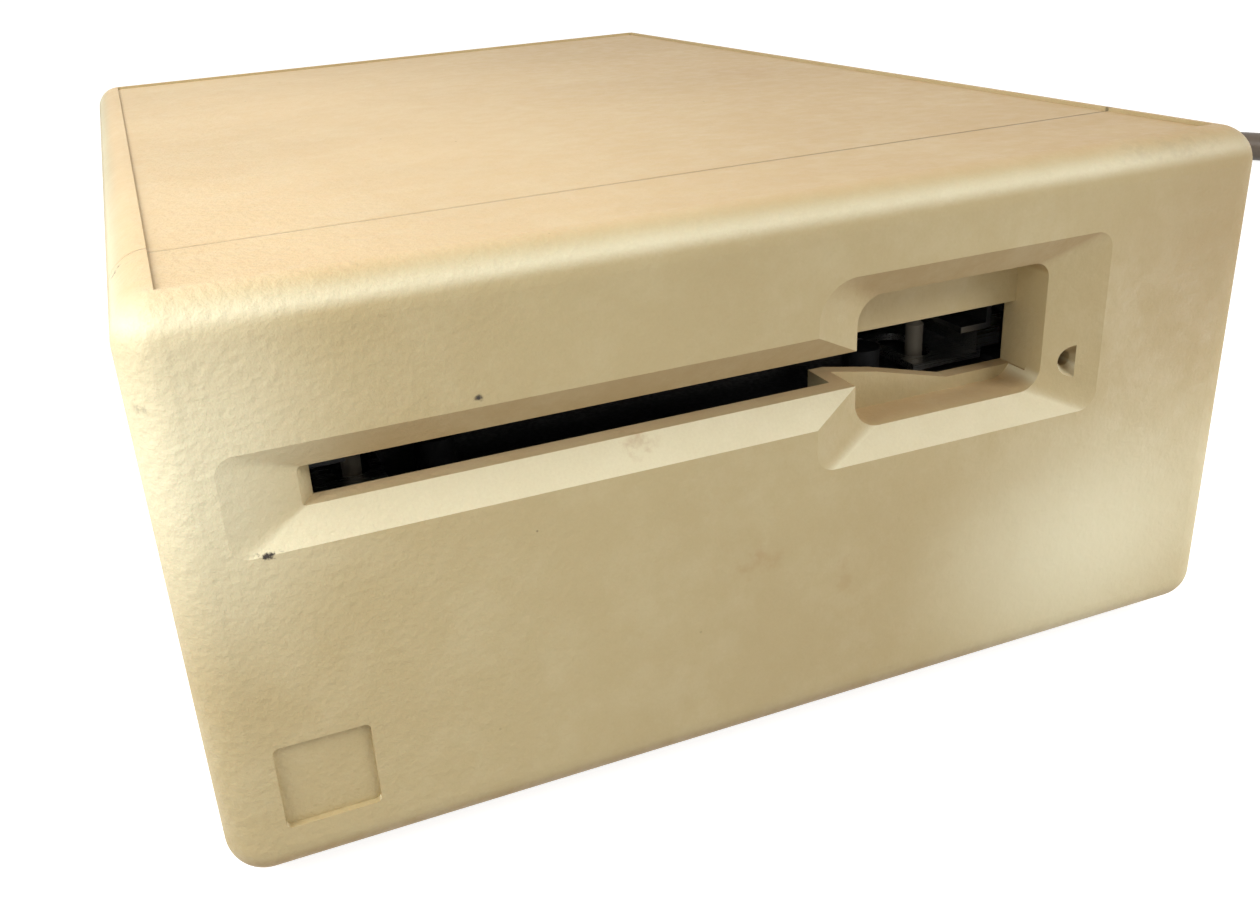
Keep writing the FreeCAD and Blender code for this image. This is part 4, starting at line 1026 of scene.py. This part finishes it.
class Studio:
    """Camera, lights, floor and backdrop."""

    PLACE = (-0.06508, -0.20959, 0.10149)
    RIGHT = (0.9342, -0.3505, -0.0669)
    DOWN = (-0.1965, -0.3488, -0.9164)
    FOCAL_PX = 1183.0
    CENTRE_PX = (570.24, 423.31)
    PHOTO_PX = (1260, 908)
    SENSOR = 36.0
    TABLE_GLOW = 0.85
    SURROUND_GLOW = 0.8
    BOXES = (
        SoftBox("key", (-0.28, -0.06, 0.4), (-0.05, -0.03, 0.07), (0.3, 0.3), 1.33, (1.0, 0.98, 0.95)),
        SoftBox("fill", (0.42, -0.55, 0.55), (0.0, -0.09, 0.04), (0.35, 0.35), 2.8, (1.0, 0.98, 0.95)),
        SoftBox("rear", (-0.35, 0.4, 0.6), (-0.02, 0.0, 0.06), (0.5, 0.4), 0.8, (1.0, 0.98, 0.95)),
        SoftBox(
            "left", (-0.13, -0.135, 0.095), (-0.06, -0.099, 0.055), (0.05, 0.05), 0.06, (1.0, 0.99, 0.97),
        ),
        SoftBox(
            "right", (0.125, -0.15, 0.012), (0.055, -0.099, 0.028), (0.05, 0.02), 0.024, (1.0, 0.99, 0.97),
        ),
    )

    def camera(self) -> None:
        """Sets the camera as it was fitted to the photograph."""
        right, down = Vector(self.RIGHT).normalized(), Vector(self.DOWN)
        down = (down - right * down.dot(right)).normalized()
        back = right.cross(-down)
        data = bpy.data.cameras.new("camera")
        data.sensor_width = self.SENSOR
        data.lens = self.FOCAL_PX * self.SENSOR / self.PHOTO_PX[0]
        data.shift_x = (self.PHOTO_PX[0] / 2 - self.CENTRE_PX[0]) / self.PHOTO_PX[0]
        data.shift_y = (self.CENTRE_PX[1] - self.PHOTO_PX[1] / 2) / self.PHOTO_PX[0]
        data.clip_start = 0.01
        camera = bpy.data.objects.new("camera", data)
        turn = Matrix((right, -down, back)).transposed().to_4x4()
        camera.matrix_world = Matrix.Translation(self.PLACE) @ turn
        bpy.context.scene.collection.objects.link(camera)
        bpy.context.scene.camera = camera

    def light(self, box: SoftBox) -> None:
        """Adds an area light.

        Args:
            box: its values.
        """
        data = bpy.data.lights.new(box.name, "AREA")
        data.shape = "RECTANGLE"
        data.size, data.size_y = box.size
        data.energy = box.power
        data.color = box.colour
        lamp = bpy.data.objects.new(box.name, data)
        lamp.visible_camera = False
        aim = (Vector(box.target) - Vector(box.place)).to_track_quat("-Z", "Y")
        lamp.matrix_world = Matrix.Translation(box.place) @ aim.to_matrix().to_4x4()
        bpy.context.scene.collection.objects.link(lamp)

    def floor(self) -> None:
        """Adds the pale table, which reads as white away from the object's shadow."""
        mesh = bpy.data.meshes.new("floor")
        shape = bmesh.new()
        bmesh.ops.create_grid(shape, x_segments=8, y_segments=8, size=3.0)
        shape.to_mesh(mesh)
        shape.free()
        floor = bpy.data.objects.new("floor", mesh)
        bpy.context.scene.collection.objects.link(floor)
        graph = Graph("table")
        cloud = graph.span(graph.noise(0.01, 3.0, 0.5), 0.3, 0.7)
        colour = graph.mix(cloud, (0.55, 0.54, 0.52), (0.51, 0.5, 0.48))
        graph.finish(Base_Color=colour, Roughness=0.8)
        self.white_to_camera(graph.tree, graph.shader.outputs[0], graph.output, self.TABLE_GLOW)
        mesh.materials.append(graph.material)
        floor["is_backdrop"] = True

    def white_to_camera(
        self, tree: bpy.types.NodeTree, shader: bpy.types.NodeSocket, output: bpy.types.Node, glow: float,
    ) -> None:
        """Adds white for camera, mirror and see-through rays, and leaves all other rays the given shader.

        Args:
            tree: the node tree.
            shader: the shader that every ray sees.
            output: the tree's output node.
            glow: how much white is added, so that a shadow on the shader still shows below 1.
        """
        path = tree.nodes.new("ShaderNodeLightPath")
        seen = path.outputs["Is Camera Ray"]
        for name in ("Is Glossy Ray", "Is Transmission Ray"):
            either = tree.nodes.new("ShaderNodeMath")
            either.operation = "MAXIMUM"
            tree.links.new(seen, either.inputs[0])
            tree.links.new(path.outputs[name], either.inputs[1])
            seen = either.outputs[0]
        white = tree.nodes.new("ShaderNodeEmission")
        white.inputs["Strength"].default_value = glow
        total = tree.nodes.new("ShaderNodeAddShader")
        tree.links.new(shader, total.inputs[0])
        tree.links.new(white.outputs[0], total.inputs[1])
        switch = tree.nodes.new("ShaderNodeMixShader")
        tree.links.new(seen, switch.inputs[0])
        tree.links.new(shader, switch.inputs[1])
        tree.links.new(total.outputs[0], switch.inputs[2])
        tree.links.new(switch.outputs[0], output.inputs["Surface"])

    def world(self) -> None:
        """Sets a soft white surround."""
        world = bpy.data.worlds.new("surround")
        world.use_nodes = True
        tree = world.node_tree
        tree.nodes.clear()
        output = tree.nodes.new("ShaderNodeOutputWorld")
        soft = tree.nodes.new("ShaderNodeBackground")
        soft.inputs["Color"].default_value = (1.0, 0.98, 0.95, 1.0)
        soft.inputs["Strength"].default_value = 0.27
        self.white_to_camera(tree, soft.outputs[0], output, self.SURROUND_GLOW)
        bpy.context.scene.world = world

    def build(self) -> None:
        """Sets up the whole studio."""
        self.camera()
        for box in self.BOXES:
            self.light(box)
        self.floor()
        self.world()
        bpy.context.scene.view_settings.view_transform = "Standard"


def write_size(stage: str, sizes: dict[str, object]) -> None:
    """Args:
        stage: when it was measured.
        sizes: what has been measured so far.
    """
    sizes[stage] = [[round(float(part), 5) for part in corner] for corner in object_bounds()]
    LOG.info("%s the box is %s", stage, sizes[stage])


def main() -> None:
    """Builds the studio and dresses every sub-assembly."""
    logging.basicConfig(level=logging.INFO, format="%(name)s: %(message)s")
    sizes: dict[str, object] = {}
    write_size("after_load", sizes)
    Studio().build()
    cable = Cable()
    hood = cable.hood_plastic()
    fittings = Fittings()
    fittings.legs()
    cable.build([fittings.knurls(), fittings.ribs(hood)])
    cable.dress(hood)
    Case().dress()
    Mechanism().dress()
    Electronics().dress()
    write_size("before_finish", sizes)


if __name__ == "__main__":
    main()
